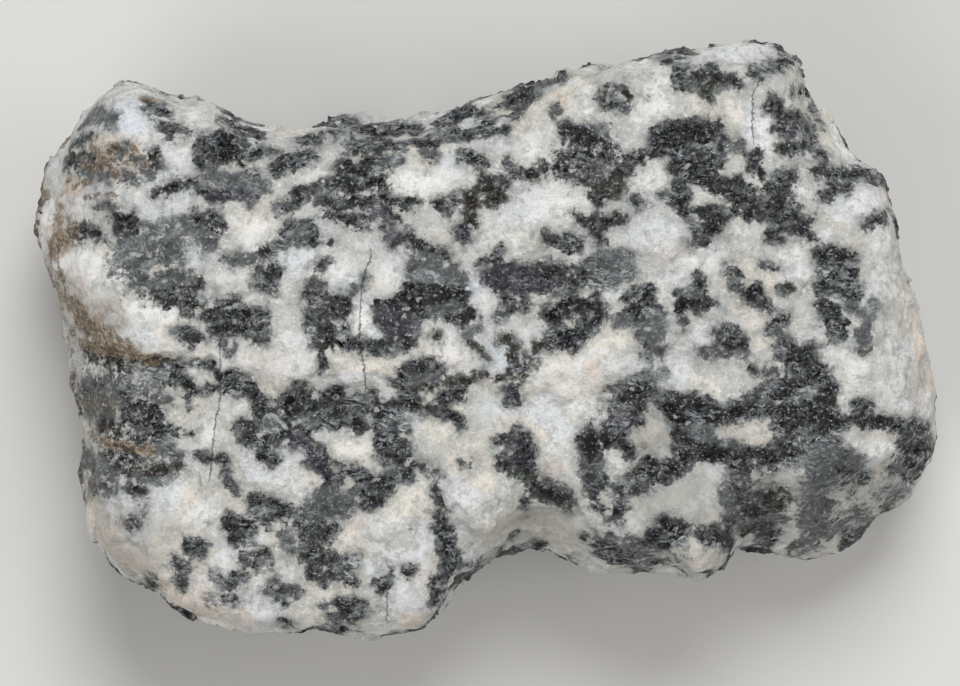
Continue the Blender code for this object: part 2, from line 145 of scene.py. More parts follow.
# %% Dark strokes, upper middle
UPPER_MIDDLE = {
    VIOLET: [
        (0.8, -14, 15.8, -12.5, 15.8, -11.8, 15, -12.8, 14, -12, 13.2), (0.8, -12, 13.2, -11.2, 12.3),
        (0.8, -3.2, 13.6, -2.6, 14.2, -2.9, 12.7),
    ],
    PLAIN: [
        (0.5, -21.5, 25.2, -19.5, 25.8, -17, 26, -14.8, 26.3),
        (1.1, -16.5, 24.2, -14.5, 24.3, -12.5, 24.3, -10.8, 24.5, -10.3, 25.8),
        (0.9, -10.3, 25.8, -11, 26.6), (0.9, -15.5, 22, -13, 22.3, -11.5, 22.8),
        (0.8, -18.3, 21.5, -16.5, 21.3, -14.2, 21.3),
        (1, -19, 19.5, -17.5, 19.5, -15.5, 19.3, -13.8, 19.8),
        (0.8, -21, 17.5, -20, 17.8, -18, 17, -16, 17, -14.2, 17.3),
        (0.6, -20, 15.8, -18.5, 15.7, -17, 15, -16, 14.4),
        (0.6, -9.7, 13, -9, 12.2, -7.8, 11.6, -6.3, 11.2, -5.3, 10.8), (0.6, -7.3, 23, -6.3, 22.5),
        (1.1, -5.5, 26.8, -4, 27.2, -3, 28.3, -1.8, 28.8, -1, 28.2), (0.9, -1, 28.2, -1.8, 27),
        (0.8, -5, 25.3, -3.5, 25.6, -2, 25.9), (1, -2.8, 26.8, -1, 27, 0.6, 27.8),
        (0.8, -12.6, 26.4, -10.5, 26.2, -8.6, 25.8), (0.6, 0.2, 26, 1.5, 26.2, 2.5, 26.4),
        (0.7, -3.2, 23.2, -1.5, 22.8, 0, 22.2), (0.6, 2.8, 22, 3.5, 21, 4.8, 20.7, 6, 20.9, 7.2, 21.3),
        (0.4, -0.8, 21, 0.5, 20.3, 2.3, 20), (0.7, -6, 17, -5, 16.8, -4.5, 16, -4, 17.6),
        (1, 3.3, 28.7, 4.3, 29.5, 5, 30.5, 5.5, 31.3, 3, 29.8), (0.4, 6.3, 32.3, 8, 32.6, 9.5, 33.2),
        (0.6, 14.8, 31.6, 14.6, 30.3, 15, 29.2, 16.5, 29.4, 17.5, 29.2),
        (0.4, 16, 31.6, 17.5, 31.4, 17.8, 30.3), (1, 10.2, 26.3, 11.5, 26, 13, 26.3, 14.3, 26),
        (0.9, 11.5, 25, 13, 24.8, 14.8, 24.8, 15.5, 23.8),
        (0.9, 10, 22.7, 11.5, 22.9, 13, 23, 14.5, 23, 15.8, 22.6), (0.6, 9.3, 21, 10.5, 21, 11.8, 20.6),
        (0.6, 17, 21, 18, 21.5, 18.7, 22.5, 19.2, 22.8), (0.6, 13.5, 17.8, 14.2, 17),
        (0.7, 18.8, 17.4, 19.8, 17),
        (0.7, 11.5, 15.5, 12.3, 14.5, 13.8, 15.3, 15, 14.5, 16.3, 15.2, 17.3, 15),
        (0.7, 13.2, 14, 13.8, 13.3, 14.3, 12.2),
        (0.8, 7.3, 12.9, 8.2, 12.5, 9.3, 12, 10.5, 12.3, 11.5, 12.3), (0.5, 10, 11.2, 11.5, 11.3),
        (0.8, 6.5, 9, 8, 9, 9.3, 9), (0.6, -1, 9.3, 0.3, 9.8, 1.5, 9.6, 1.7, 11),
    ],
    BLACK: [
        (0.6, -8.5, 24.7, -7, 24.5, -5.5, 24.7),
    ],
    GREY: [
        (0.9, -7, 10.3, -6, 9.5, -7.5, 9, -8.8, 9.3), (0.8, -8, 23.5, -6.4, 23.3),
        (0.9, 12.8, 9, 14.5, 9.8, 16, 10.2, 17.5, 10, 17.8, 9),
    ],
    BROWN: [
        (0.9, -0.5, 19.2, 0.6, 18.8, 1.5, 18, 0.7, 17.5), (0.9, -2.2, 18, -1.7, 17, -2, 15.8, -1.8, 15),
        (1.2, 13, 21, 14.5, 20.2, 15.5, 19.5, 16.5, 20), (1, 14, 19, 15.5, 18.4, 17, 18.9),
    ],
    OLIVE: [
        (0.5, 8.2, 28.3, 8.8, 28.8),
    ],
}
print("upper middle:", sum(map(len, UPPER_MIDDLE.values())), "strokes")

# %% Dark strokes, upper right
UPPER_RIGHT = {
    VIOLET: [
        (1, 37, 26.5, 38.5, 26.5),
    ],
    PLAIN: [
        (1, 22.8, 35.5, 24, 35.5, 24.6, 34.3, 24.3, 32.6, 25.6, 32), (0.6, 24.8, 36.3, 25.2, 36),
        (0.7, 34, 34, 35, 34, 34.2, 33.3), (0.6, 36.3, 34.8, 37.3, 35.2),
        (0.9, 33.6, 33.6, 35.2, 34, 36.8, 34.8, 38.2, 35.6), (0.6, 39, 30.9, 39.8, 31.5),
        (0.6, 35.8, 30, 36.5, 29.7, 35.2, 28.8),
        (0.9, 36.8, 28.3, 38, 28, 39.5, 27.5, 40.3, 26.8, 41, 26, 41, 24.8),
        (0.8, 37, 24, 38.5, 24, 39.5, 24.3), (0.7, 41.8, 23.5, 42.3, 22.8),
        (0.8, 42, 21.3, 43.5, 20.8, 45.5, 20.8, 47, 21, 48.5, 20.7, 49.5, 20.2),
        (0.8, 45, 19.2, 44, 19.6, 43, 18.7, 42.7, 18), (0.6, 47.8, 14.5, 48.8, 15, 49.8, 15.3),
        (1.3, 21.5, 25.2, 23, 26, 25, 26.2, 26.8, 25.8, 28.5, 25, 29.5, 24), (0.7, 29, 26.8, 26, 27),
        (1.3, 21.5, 24, 23.5, 24, 25.5, 24, 27.5, 23.5, 29, 22.8), (1, 24, 22.3, 26, 22, 28, 21.7),
        (1, 24.5, 20.5, 26.5, 20.3, 28.5, 20),
        (0.8, 22.3, 18, 23.5, 17.3, 24.5, 17.7, 25.3, 18.5, 24, 19.3), (0.8, 24.5, 16.5, 25.5, 15.5),
        (0.9, 27, 15.8, 28.5, 15.5, 30, 15.3, 31, 16), (0.9, 26.5, 14.2, 27.5, 13.8, 29, 14.3),
        (0.9, 26.3, 12.5, 27.3, 12.7), (0.7, 34, 23.2, 33.3, 22.5, 33.7, 21.3, 34.3, 20.6),
        (0.8, 37.5, 20.5, 36.8, 19.8, 35.5, 19.3), (0.8, 37.3, 18.8, 35.8, 18.3),
        (0.8, 33, 18.8, 34, 17.8, 35, 17, 36, 17.5),
        (0.8, 36.5, 16.3, 37.8, 16.2, 38.8, 15.8, 39.3, 15), (0.9, 35.8, 14.5, 36.8, 13.8, 37.5, 14.8),
        (0.9, 35.8, 13, 37, 12.6), (0.6, 38.7, 14.2, 40, 13.5, 40.5, 13), (0.5, 40.3, 15, 40.5, 15),
        (0.5, 18.2, 9.5, 18.3, 8.2), (1, 41.5, 10.3, 43, 10.5, 44.3, 10.3, 45.3, 10),
        (1, 42.5, 8.8, 43.5, 8, 45.3, 8.5, 46, 7.8), (1, 42, 6.5, 43.5, 6, 45.5, 6.2, 46.5, 6),
        (0.7, 26.5, 7.8, 26.8, 7, 25.5, 6, 24.2, 5.8, 27, 5.8),
        (0.7, 30.8, 8.8, 31.3, 8, 31, 6.8, 31.8, 6.3, 33, 5.8, 34.3, 6),
        (0.2, 34.8, 9.2, 36.5, 9, 37.5, 8.8), (1.1, 24, 21.6, 26.6, 20.8, 29.4, 19.4, 31.4, 18.6),
        (0.8, 35.8, 1, 37.4, 2.6),
    ],
    BLACK: [
        (0.8, 26, 33, 27, 33.2, 28.2, 33.8, 29, 33, 30, 32.3, 31.3, 32.4),
        (0.9, 31.5, 19.5, 31.2, 18, 32.2, 17, 33, 15.8), (1.3, 30.6, 18.4, 32.6, 17.4, 34, 16.4),
        (1.4, 36, 16.6, 37.6, 14.8, 39.4, 14), (1, 24.6, 4.8, 27, 4.6),
    ],
    OLIVE: [
        (0.8, 26.5, 32, 27.2, 31, 27.8, 30.5, 28.5, 31.8), (0.5, 31.5, 24, 32, 24.8),
        (0.5, 37, 6.3, 38, 6.5),
    ],
}
print("upper right:", sum(map(len, UPPER_RIGHT.values())), "strokes")

# %% Dark strokes, middle band
MIDDLE = {
    VIOLET: [
        (1, -13, 3.8, -12, 3.5, -11, 3.7, -13, 2.5, -12, 1.8),
        (1, -11, 2, -11.8, 0.5, -10.8, 0.8, -10.3, 2.8, -9.5, 2, -9.5, 1.2),
        (1.2, 0.3, 8, 1.5, 7.5, 2.5, 8.5, 4, 8.3, 5.5, 8, 7, 8.5),
        (1.1, 2, 6.7, 3.5, 6.5, 5, 6.8, 6.5, 7, 8, 6.6, 9, 7),
        (0.6, 2.5, -6, 3.5, -5.8, 3.3, -7, 2.7, -7.8, 3.7, -7.8),
    ],
    PLAIN: [
        (1, -22, 5.5, -20.5, 5, -19, 4.7, -17.8, 4.5, -18.5, 3.5), (1, -18.5, 3.5, -21, 3.5, -22, 3),
        (0.9, -22, 1.8, -20, 1, -18, 1, -18.2, 2.3),
        (0.8, -19.3, -0.3, -17.5, -0.4, -16, -0.8, -14.5, -0.9, -13, -0.8),
        (0.8, -13, -0.8, -11.5, -1, -10.3, -1, -10, 0, -9.3, -0.3),
        (0.6, -21.5, -0.5, -20.7, -1.3, -20.5, -2.5, -20.3, -3.3), (0.35, -6.1, 0.6, -6.4, 0.1),
        (1.2, 7, 8.5, 8.5, 8.3, 10, 8.3, 11.5, 8, 13, 8.3, 14.5, 8.2),
        (0.9, 9, 7, 10.3, 6.8, 11, 7.3, 13, 7.2, 14.5, 7, 16, 7), (0.4, 1.5, 2.6, 2.1, 2.8),
        (1, 12.7, 3.2, 10, 3, 8.3, 2.3, 9.3, 1.8), (0.9, 12, 2.2, 13, 1.7, 11, 1, 9.5, 1),
        (0.9, 10.3, 0.3, 12, 1, 9.3, -0.3, 11, -0.7, 8.2, 0.3),
        (0.9, 17.8, 5.2, 18.7, 5.5, 19.3, 4.5, 20.2, 5.2, 20.3, 6),
        (0.9, 20.7, 4.5, 19, 3.5, 20, 3.3, 21.5, 3.3), (0.4, 3.2, -3.7, 4, -3.8, 5, -3.2, 6, -2.8),
        (1, -10.5, -4.8, -9.5, -3.8, -8.3, -3.5, -7, -3.4, -6, -4),
        (0.9, -10.5, -7, -9.3, -6.8, -10, -8, -11.5, -8, -12.3, -8.7), (0.8, -8.7, -8, -9.3, -6.8),
        (0.9, -5.5, -7, -4.5, -6.7, -3.5, -6.5, -3.5, -7.3, -5, -7.7),
        (0.7, -18.5, -6.7, -17.5, -7.8, -16, -7.7, -15, -7.2, -14.2, -6.8),
        (0.7, -13.7, -7.3, -14, -8.5, -15.5, -8.7, -17, -8.7), (0.7, -19, -8, -20.5, -7.8, -21.5, -8.5),
        (0.8, 17.2, -6, 18, -5.5, 19, -5.3, 20, -6.5, 18.3, -7), (0.8, 19.5, -7.7, 17.5, -8, 18.3, -7),
        (0.5, 15.3, -6.3, 16.3, -6.6, 17.5, -7),
    ],
    BLACK: [
        (0.6, -13.5, 4.5, -12, 4.8, -11, 4.8, -10, 5, -9, 5.3),
        (1, -9.5, 6.5, -7, 6.3, -5.5, 6.5, -4.5, 6, -3, 5.5), (1, -9.5, 5, -8, 4.7, -6.5, 4.7, -5, 5),
        (0.9, -9.5, 3.8, -8.3, 3.4, -9.3, 2.5),
        (0.6, -3.5, 4.3, -2.5, 3.8, -1.7, 3.3, -3.5, 2.5, -2.8, 2.2, -4.7, 2.7),
        (0.6, 2, 5.8, 3, 5.2, 2.5, 4.5, 3.5, 4, 4.5, 3.7, 4.8, 4.3),
        (1, 7.5, 3.2, 8.5, 3, 9.5, 4, 10.5, 4.7, 11.3, 4.8, 11.5, 3.7),
        (1, 11.5, 3.7, 12.8, 4.3, 13.5, 5, 14.3, 4, 14.2, 3, 13.8, 2.2),
    ],
    GREY: [
        (0.7, -22, 6.8, -21, 6.5), (0.5, -16.7, 5.8, -16.3, 6.5, -15.5, 6.8, -15.3, 7.5),
        (1, -9, 8, -7.5, 7.8, -6, 8, -5, 7.8, -4, 8.3, -3.3, 7.5),
        (0.9, -6.5, 3.5, -5.5, 3.8, -4.5, 3.5, -3.5, 4.3), (1.1, 14.5, 8.2, 16, 8.3, 17.3, 8),
        (0.6, 8.5, 5.7, 9.7, 6, 10.8, 5.8), (0.7, 16.5, 2.2, 17.5, 2.3, 18.8, 2, 20, 2, 21.5, 1.8),
        (0.7, 19.3, 0.8, 20.3, 0.5, 21.3, 0.3, 19.8, -0.5, 20.8, -1, 21.8, -1.5),
        (0.8, -6.3, -4.8, -7.5, -4.5, -9, -4.8), (0.6, 18.3, -5, 19.5, -4.8, 21, -4.8, 22, -4.5),
        (0.4, 20, -2, 20.5, -3.5), (0.35, -2.3, 0.3, -2, 1, -0.8, 1.6),
    ],
    BROWN: [
        (0.6, -21.8, 9, -21, 8.5),
        (0.6, 1.8, 0.2, 2.7, -0.2, 3.5, -0.8, 4.5, -1.3, 3.2, -1.7, 3.6, -2.5),
        (0.6, 5, -2.2, 6, -2.3, 6, -1.5, 6.7, -0.8, 7.5, -0.5), (0.6, 7.8, -1.3, 8.5, -0.5),
        (0.35, -2, -0.4, -1.5, -0.7, -1, -1.5, -0.3, -2, 0.2, -2.7),
        (0.6, -11.5, -5.5, -10, -6, -8.5, -5.7, -7, -5.9, -5.5, -5.5),
        (0.35, -0.3, -4.4, 1, -4.8, 2.3, -4.9, 3.7, -4.8, 4.8, -4.5),
    ],
}
print("middle band:", sum(map(len, MIDDLE.values())), "strokes")

# %% Dark strokes, lower right
LOWER_RIGHT = {
    PLAIN: [
        (0.9, 18.5, 4, 20, 3.3, 19, 2.2), (0.8, 25.3, 5, 27, 4.8, 28.5, 4.6),
        (0.6, 24.5, 3.5, 24.8, 2.2), (0.7, 33, 5.5, 34.5, 5, 35.4, 3.8),
        (0.7, 28.8, 1.2, 30, 1, 31, 0.8, 32, 0.2), (0.7, 29.3, 0, 30.5, -0.2, 32.3, -0.8),
        (0.4, 36, 1.2, 36.7, 1.8, 37.5, 2.7), (1, 42.3, 4.5, 43.5, 3.3, 44.5, 2, 44, 0.8, 43, 2.2),
        (0.6, 33.5, -4, 34.8, -4.5, 36, -4), (1.3, 37.5, -0.8, 38, -2, 39.5, -1.8, 40.8, -1.5),
        (1.3, 38.5, -3.5, 40.5, -3.5, 42, -4, 41.5, -5.5, 43, -6),
        (1.3, 41.5, -5.5, 39.5, -5.8, 37.5, -6.3, 35.5, -6.8, 33.5, -7.5),
        (1.1, 42.8, -7.5, 41, -7.8, 39, -8.3, 37, -8.8, 35, -8.8),
        (1.1, 35, -8.8, 33, -8.8, 31, -9, 29.5, -9.2, 27.5, -8.5),
        (1.1, 27.5, -8.5, 26, -8, 24.5, -7.8, 22.8, -7.5),
        (0.8, 23.5, -9.5, 25, -9.8, 27, -10, 29, -10.3), (0.7, 24.5, -11.8, 23.8, -13.5, 25.5, -12.3),
        (0.7, 24.5, -15, 26, -14.8, 27.5, -14.7),
        (0.8, 20, -5.8, 21.5, -6.5, 19, -7, 18.5, -9, 19, -10.5),
        (1.1, 39, -10.5, 38, -11.8, 38.5, -13.3, 36.8, -14, 35.5, -15),
        (1, 35.5, -15, 33.5, -14.5, 32.3, -14), (0.9, 40.5, -11.5, 42, -11, 43.5, -11, 45, -10.5),
        (1.2, 36.8, -10.6, 38.6, -9.8, 40.8, -9.6, 43, -9.4),
        (1.1, 39.6, -13.6, 41.2, -12.6, 43.4, -12.4),
        (0.8, 46.5, -8.3, 48, -8.5, 47, -10, 49.5, -10.3, 51.5, -10.8),
        (0.8, 51.5, -10.8, 53.5, -11, 55.5, -11), (0.9, 53, -13, 54.5, -13, 55.5, -14.5, 53, -15),
        (0.8, 19.5, -17.5, 20.5, -16.5, 22.5, -16.8, 22, -15.8, 24, -16),
        (0.9, 24, -23.5, 22.5, -23, 23, -24, 21.5, -25, 20, -26), (0.9, 20, -26, 18.8, -26.5),
        (0.8, 27.5, -24.3, 29, -25, 30.5, -25.5, 30.8, -26.5), (0.9, 44.5, -16.8, 47, -17.3),
        (1.1, 52.8, -12.5, 53.8, -14.5, 54.8, -16.5),
    ],
    GREY: [
        (0.6, 26.8, -1.8, 28.2, -1.5, 29.5, -1.8, 31, -1.8, 32.3, -2),
        (0.8, 46, 3.8, 47.5, 3.5, 48.8, 4.3), (0.8, 48.2, 2.5, 47.5, 1, 47.3, -0.8),
        (1.1, 41.5, -13, 43, -13.3, 41, -15, 42.5, -15.3, 44.5, -14.8), (1, 44.5, -14.8, 46.5, -15.2),
        (1.1, 41.5, -17.3, 43.5, -17.3), (0.9, 19.5, -28.3, 21.5, -28.3, 23, -28),
        (1.2, 41, -20.5, 42.5, -21, 40.5, -22.5, 42.5, -23),
        (1.2, 41.5, -25, 43.5, -25.5, 45, -25.5, 42.5, -26.8),
        (1.1, 46.5, -22, 48.5, -22.8, 50.5, -22, 52.5, -21.5),
        (1.2, 40.5, -12, 42, -16, 41, -20, 41.5, -24, 43.5, -26.5),
        (1, 51.8, -16.8, 54.5, -18, 53.2, -19.6), (0.9, 46.5, -24.9, 49.5, -24),
        (1, 47.5, -24.3, 49.5, -23.8),
    ],
    BROWN: [
        (1.2, 32, -15.3, 31.5, -17, 32, -18.5, 32.3, -20),
        (1.2, 34, -20.3, 36, -20, 33, -21.8, 35, -21.8, 36.5, -20.7),
        (1.2, 33.5, -23.3, 35, -23.3, 32.8, -24.5),
    ],
}
print("lower right:", sum(map(len, LOWER_RIGHT.values())), "strokes")

# %% Dark strokes, lower left
LOWER_LEFT = {
    VIOLET: [
        (1, -24, -13, -23.5, -12.3, -22.5, -13.5, -21.5, -14.8, -20.7, -15.5),
        (1, -20.7, -15.5, -19.5, -16.8, -18.5, -17.3),
    ],
    PLAIN: [
        (0.9, -41.2, 5.6, -39.8, 5, -38, 5.5, -37.5, 4.5, -37.3, 3.3), (0.8, -37.5, 4.5, -35.8, 4.5),
        (1, -35, 2.7, -33.3, 2.8, -31.5, 3.3, -30, 3.2, -28.5, 3), (0.7, -33.5, 4.3, -31.5, 4.6),
        (0.9, -34.5, 1.3, -32.5, 1.5, -30, 1.3, -28.3, 1.2, -28.3, 0),
        (0.7, -38.5, 1, -36.8, 0.7, -36.8, -0.5, -35.8, 0.2), (0.5, -32.9, -0.3, -32.7, -0.4),
        (0.5, -32.3, -2, -31.8, -1.6), (0.6, -36.7, -2.8, -35.3, -3, -34.2, -3.3),
        (0.9, -42, -3.5, -40.5, -3.3, -38.8, -3.3), (0.9, -41.5, -4.7, -40, -5, -38.3, -5, -37.5, -5.8),
        (0.7, -37.5, -6.8, -35.5, -6.5, -34.5, -6.2),
        (0.9, -33, -5, -31.5, -4.8, -30.5, -5.3, -32.5, -6),
        (0.9, -31, -6.3, -29.5, -6.5, -28.5, -7.5, -29, -8.5, -27.5, -9),
        (1.1, -25, -8.2, -24, -7.3, -23.3, -6.8),
        (1.1, -24.5, -9, -23, -8.8, -21.5, -8.8, -20, -8.8, -18.5, -7), (0.9, -20, -8.8, -18.7, -9.3),
        (1, -30.5, -11, -28.8, -11.2, -27, -10.8, -25.5, -10.5),
        (1, -30, -12.5, -28.3, -13, -26.5, -12.5, -25, -11.8), (1, -27.8, -14.3, -27, -15),
        (0.9, -22.5, -11, -20.8, -10.3, -19, -10.5),
        (1.1, -44.5, -9, -43, -9, -41.5, -9.5, -43, -11, -41, -11),
        (1, -41, -11, -41.8, -12.5, -39.8, -11.5), (0.4, -37.5, -8.8, -37.3, -8.8),
        (0.6, -37.3, -11.8, -37.1, -11.9), (0.6, -46.3, -15, -45, -14.5, -45.8, -15.8),
        (0.6, -44.5, -18.3, -43.3, -19.2), (0.5, -36.5, -14.5, -35, -14.7, -33, -14.9, -32.5, -15.8),
        (0.5, -32.5, -15.8, -32.5, -17, -32, -18, -31.3, -18.8),
        (0.7, -29, -20.2, -28.3, -20.3, -28.8, -21.5, -27.8, -22.5, -27.3, -23.5),
        (0.7, -27.8, -22.5, -26.2, -22.3),
        (0.9, -32.3, -22.5, -31.8, -23.8, -30.5, -23.3, -29.3, -24, -31.5, -25),
        (0.6, -45, -23, -43.8, -22.7, -43.2, -22),
        (0.5, -37.5, -26.2, -36.8, -26.6, -36, -26.2, -35.4, -25.8), (0.6, -42.3, -30.3, -41.8, -31.3),
        (0.5, -35, -32.8, -33, -32.8, -31.8, -32.8), (0.4, -26.7, -30, -26.5, -30.1),
        (0.7, -27, -31.3, -26, -32, -24.8, -31.7, -23.8, -31.8), (0.7, -26, -32, -25.5, -32.8),
        (1, -22.5, -24, -21, -24, -19.5, -23.7), (1, -23, -26, -21.5, -25.5, -22, -27.5, -20, -28),
        (1, -21.5, -29.3, -19.5, -29.5, -18.7, -27.8), (0.5, -25, -35.5, -24.8, -35.5),
        (0.5, -20.5, -33.4, -20.3, -33.5), (0.7, -39, -28, -37.6, -29.2, -38.4, -30.4),
        (1.1, -45.6, -7.6, -44.6, -10, -43.2, -12.2), (0.8, -46.6, -14.4, -45.2, -14.8, -44.2, -15.8),
        (1, -26.8, -20.8, -25, -21.8, -23.6, -22.8), (0.8, -37.6, -25.8, -36, -26.4),
        (0.8, -34, -29.6, -32.6, -30.6, -30.6, -29.8), (0.7, -30.4, -27.2, -28.8, -27.8, -27.6, -26.8),
    ],
    BLACK: [
        (0.6, -50, -1.7, -48, -2.2, -46.5, -2.3, -45, -2.8),
    ],
    GREY: [
        (0.8, -50.5, -5.7, -49, -5.5, -47, -5.8, -45, -6, -43, -6.5),
        (0.8, -43, -6.5, -41.5, -7, -40.3, -7.5), (0.9, -23, -22, -21.5, -22, -20, -21.3, -18.8, -20.3),
        (1, -50.6, -6, -48.6, -7.2, -46.6, -7.6), (1, -50.4, -8.8, -48.4, -9.4, -46, -9.2),
        (0.9, -42.4, -13.2, -40.2, -13.6, -39, -14.8), (0.9, -50.6, -15, -48.8, -15.8, -47.2, -17.2),
        (0.8, -49.6, -18.4, -47.2, -18.8), (0.8, -42.8, -17.2, -40.8, -17.6),
        (0.9, -25.6, -24.6, -24.2, -26.4),
    ],
    BROWN: [
        (0.7, -48, -10.7, -46.5, -11.2),
        (0.9, -44, -16.5, -42.5, -16.8, -41, -16.5, -39.7, -16.5, -38.3, -16),
    ],
}
print("lower left:", sum(map(len, LOWER_LEFT.values())), "strokes")

# %% Dark strokes, lower middle
LOWER_MIDDLE = {
    VIOLET: [
        (0.6, -21, -13.5, -21, -15, -20.3, -16.3), (1, 16.5, -9.5, 18, -9.3, 17.8, -11, 16.3, -10.8),
        (1.1, 3.2, -12.4, 4.6, -13.2, 3.4, -15, 5.2, -15.8),
    ],
    PLAIN: [
        (1.1, -21.5, -9, -20, -9.3, -18.5, -9.3, -17, -10, -16, -10.8),
        (0.8, -19.5, -17.5, -18.5, -16.5, -17.2, -16.7, -16, -17.3, -14.5, -17.5),
        (1.1, -12.5, -9, -11.5, -8.8, -13, -10, -13, -11.5, -11.5, -11.3),
        (1, -11.5, -11.3, -10.5, -11), (1.1, -13, -13, -11, -13, -10.3, -14, -11, -15, -12.3, -15),
        (0.5, -9.5, -15.8, -8.3, -15.8, -7, -16.3, -5.8, -17),
        (1, -10, -17, -12, -17, -14, -18.5, -12.5, -18.5), (1, -15.5, -19, -14.3, -20.3, -13.5, -20),
        (1, -21, -27, -19.5, -28, -18, -28, -16.8, -28), (1, -18, -29.3, -16.8, -30),
        (0.9, -20.5, -30, -18, -29.3), (0.7, -13.8, -30.5, -12.5, -30.3, -13.3, -31.5, -12, -29.7),
        (0.5, -10.3, -29.3, -9.2, -29.2), (1, -18.5, -33, -17, -33.3, -18, -34.7, -16, -34),
        (0.9, -18, -34.7, -19.3, -35, -18.5, -36), (0.8, -7.5, -9, -5.5, -9.3, -4, -9.5, -3.2, -10.7),
        (0.6, -2.8, -15.5, -2.6, -15.6), (0.3, 1.3, -13, 2.2, -12.2),
        (0.8, 4.2, -11.5, 5, -12.5, 5.5, -13.5, 4.5, -13.8),
        (0.8, 2, -15.3, 3, -15, 4, -15.3, 5.5, -15, 4.5, -13.8), (0.5, 4.8, -20.3, 5, -21.2),
        (0.8, 12.8, -12, 13.3, -11, 14.5, -12, 15.5, -12.8, 17, -13), (0.8, 17, -13, 18, -13.8),
        (0.4, 14, -20.5, 14.8, -21.8, 15.2, -22.7),
        (0.7, 16.5, -21.3, 16.6, -20.5, 17, -20, 18.3, -19.2, 19.5, -18.5),
        (0.7, 19.5, -18.5, 20.3, -17, 21.3, -16.3), (0.3, 12.2, -25.1, 12.4, -25.1),
        (0.8, 21.5, -26, 21.7, -26.1), (1.2, 16.2, -8.4, 17.6, -7.6, 19, -7.1),
        (1.1, 15.6, -10.6, 16.8, -11.6), (1.2, 22, -8.2, 23.6, -9.2, 25, -10.4),
        (0.8, 25.6, -14.6, 28.2, -14.3), (1.2, 14.8, -26, 16.6, -26.6, 16, -28.2),
        (1.1, 21.2, -24.6, 22.8, -23.8, 24.2, -23.6), (1.2, 16.6, -7.4, 18.4, -6.6, 20.2, -5.9),
        (1.1, 17, -18.2, 18.6, -17.4, 20.4, -16.6, 22.4, -16), (1, 22.4, -16, 24.6, -15.4, 27, -14.6),
        (1.1, 23.6, -8.6, 25.4, -9.2, 28, -9.8, 30.6, -10), (1, 30.2, -13.6, 31.8, -14.8, 31.2, -16.6),
        (1.1, 36.4, -12.4, 37.6, -11, 39.6, -10.6), (1.1, 34.2, -14.6, 36.4, -14.2, 38.6, -14.6),
        (0.9, 16.6, -18.8, 17.2, -20.6, 16.4, -22.2),
        (1.2, 14, -27.2, 16.8, -28.4, 20, -28.8, 22.6, -28.4),
        (1, 24.6, -11.6, 26.4, -13.2, 28.8, -13.8), (1.3, 14.4, -26.6, 17.6, -27.4, 21, -27.6),
        (1.2, 22.6, -24.6, 24.4, -24), (1.2, 32.4, -20.4, 34.6, -22.6, 34, -25.2),
        (1.1, 24, -10, 24.4, -12.6, 24.8, -14.8),
    ],
    BLACK: [
        (0.3, -2, -28.5, 0, -28.2, 1.5, -27.5), (0.4, 3.8, -25.6, 4, -25.5),
        (0.9, 13.8, -14.5, 13.8, -16, 13, -17.3, 14.5, -17.5, 13.5, -19),
        (1.2, 12.9, -12.2, 13.2, -14.5, 13.2, -17), (1.1, 20.8, -15.6, 22.4, -16.4, 23.8, -16),
        (1.1, 6.2, -18.4, 8, -19.2, 9.8, -19.8), (1, 17, -9, 18.6, -8.4, 18.2, -10.2),
        (1.5, 38, -1.6, 40, -3.2, 42, -5.4), (1.1, 17.4, -7.2, 18.8, -8.8, 18, -10.4),
        (1, 24.4, -14.6, 27, -14.4, 29.6, -14.8), (1.1, 22.6, -16.6, 20.6, -17.6, 18.4, -18.6),
        (1.2, 24.6, -8.2, 27.4, -9, 30.2, -9.4),
    ],
    GREY: [
        (1.1, -21, -21, -19.5, -21.5, -18, -21, -17, -20), (0.9, -21, -19.3, -19.5, -19),
        (0.5, 14, -25, 15.5, -25, 17.5, -25, 19, -25.3),
        (1, 14.5, -26.3, 16, -26.5, 18, -26.3, 19.5, -27), (1, 17, -28, 18.5, -29),
        (0.9, 25.2, -11.8, 26.8, -12.4, 28.2, -12.6),
        (1.1, 24, -10.6, 26.2, -11.4, 28.6, -11.8, 30, -12.8),
        (1.1, 36.2, -22.6, 34.8, -21.4, 34.4, -19.6), (1, 30.4, -19.4, 31.2, -21.4, 31, -23),
        (1.3, 40.4, -24.6, 42.4, -27.4, 44.6, -27),
    ],
    BROWN: [
        (0.9, 28.4, -24.2, 30.4, -25),
    ],
    OLIVE: [
        (0.8, 3.5, -16.5, 5.3, -17, 6.5, -18, 7.5, -18.8, 8.5, -19.5),
        (0.8, 8.5, -19.5, 9.5, -19.8, 10.3, -20.5), (0.7, 8, -20.3, 6.5, -19.3),
    ],
}
print("lower middle:", sum(map(len, LOWER_MIDDLE.values())), "strokes")

# %% Strokes that grow thinner or thicker: x, y and the half-width of each point
TAPERED = [
    (GREY, [(-33, 10, 0.3), (-31, 10, 0.6), (-29.5, 10.2, 0.6), (-28.4, 10.1, 0.7)]),
    (PLAIN, [(-14.2, 17.3, 0.6), (-12.5, 17.5, 0.6), (-10.5, 17.2, 0.6), (-8.5, 17, 0.35)]),
    (BROWN, [(-5.5, -5.5, 0.5), (-4, -5.4, 0.5), (-2.5, -5.2, 0.5), (-1.3, -4.7, 0.5), (-0.3, -4.4, 0.35)]),
    (PLAIN, [(-6.3, -18.3, 0.4), (-6, -19.3, 0.4), (-5.5, -20.8, 0.4), (-5.8, -22.3, 0.6)]),
    (PLAIN, [(-5.8, -22.3, 0.6), (-5.6, -24, 1.2), (-4.8, -26, 1.1), (-4, -28, 1.2)]),
    (PLAIN, [(-5, -29, 0.9), (-6, -30.8, 0.9), (-6.5, -32, 0.6), (-6.8, -33.3, 0.5)]),
]
print("tapered strokes:", len(TAPERED))

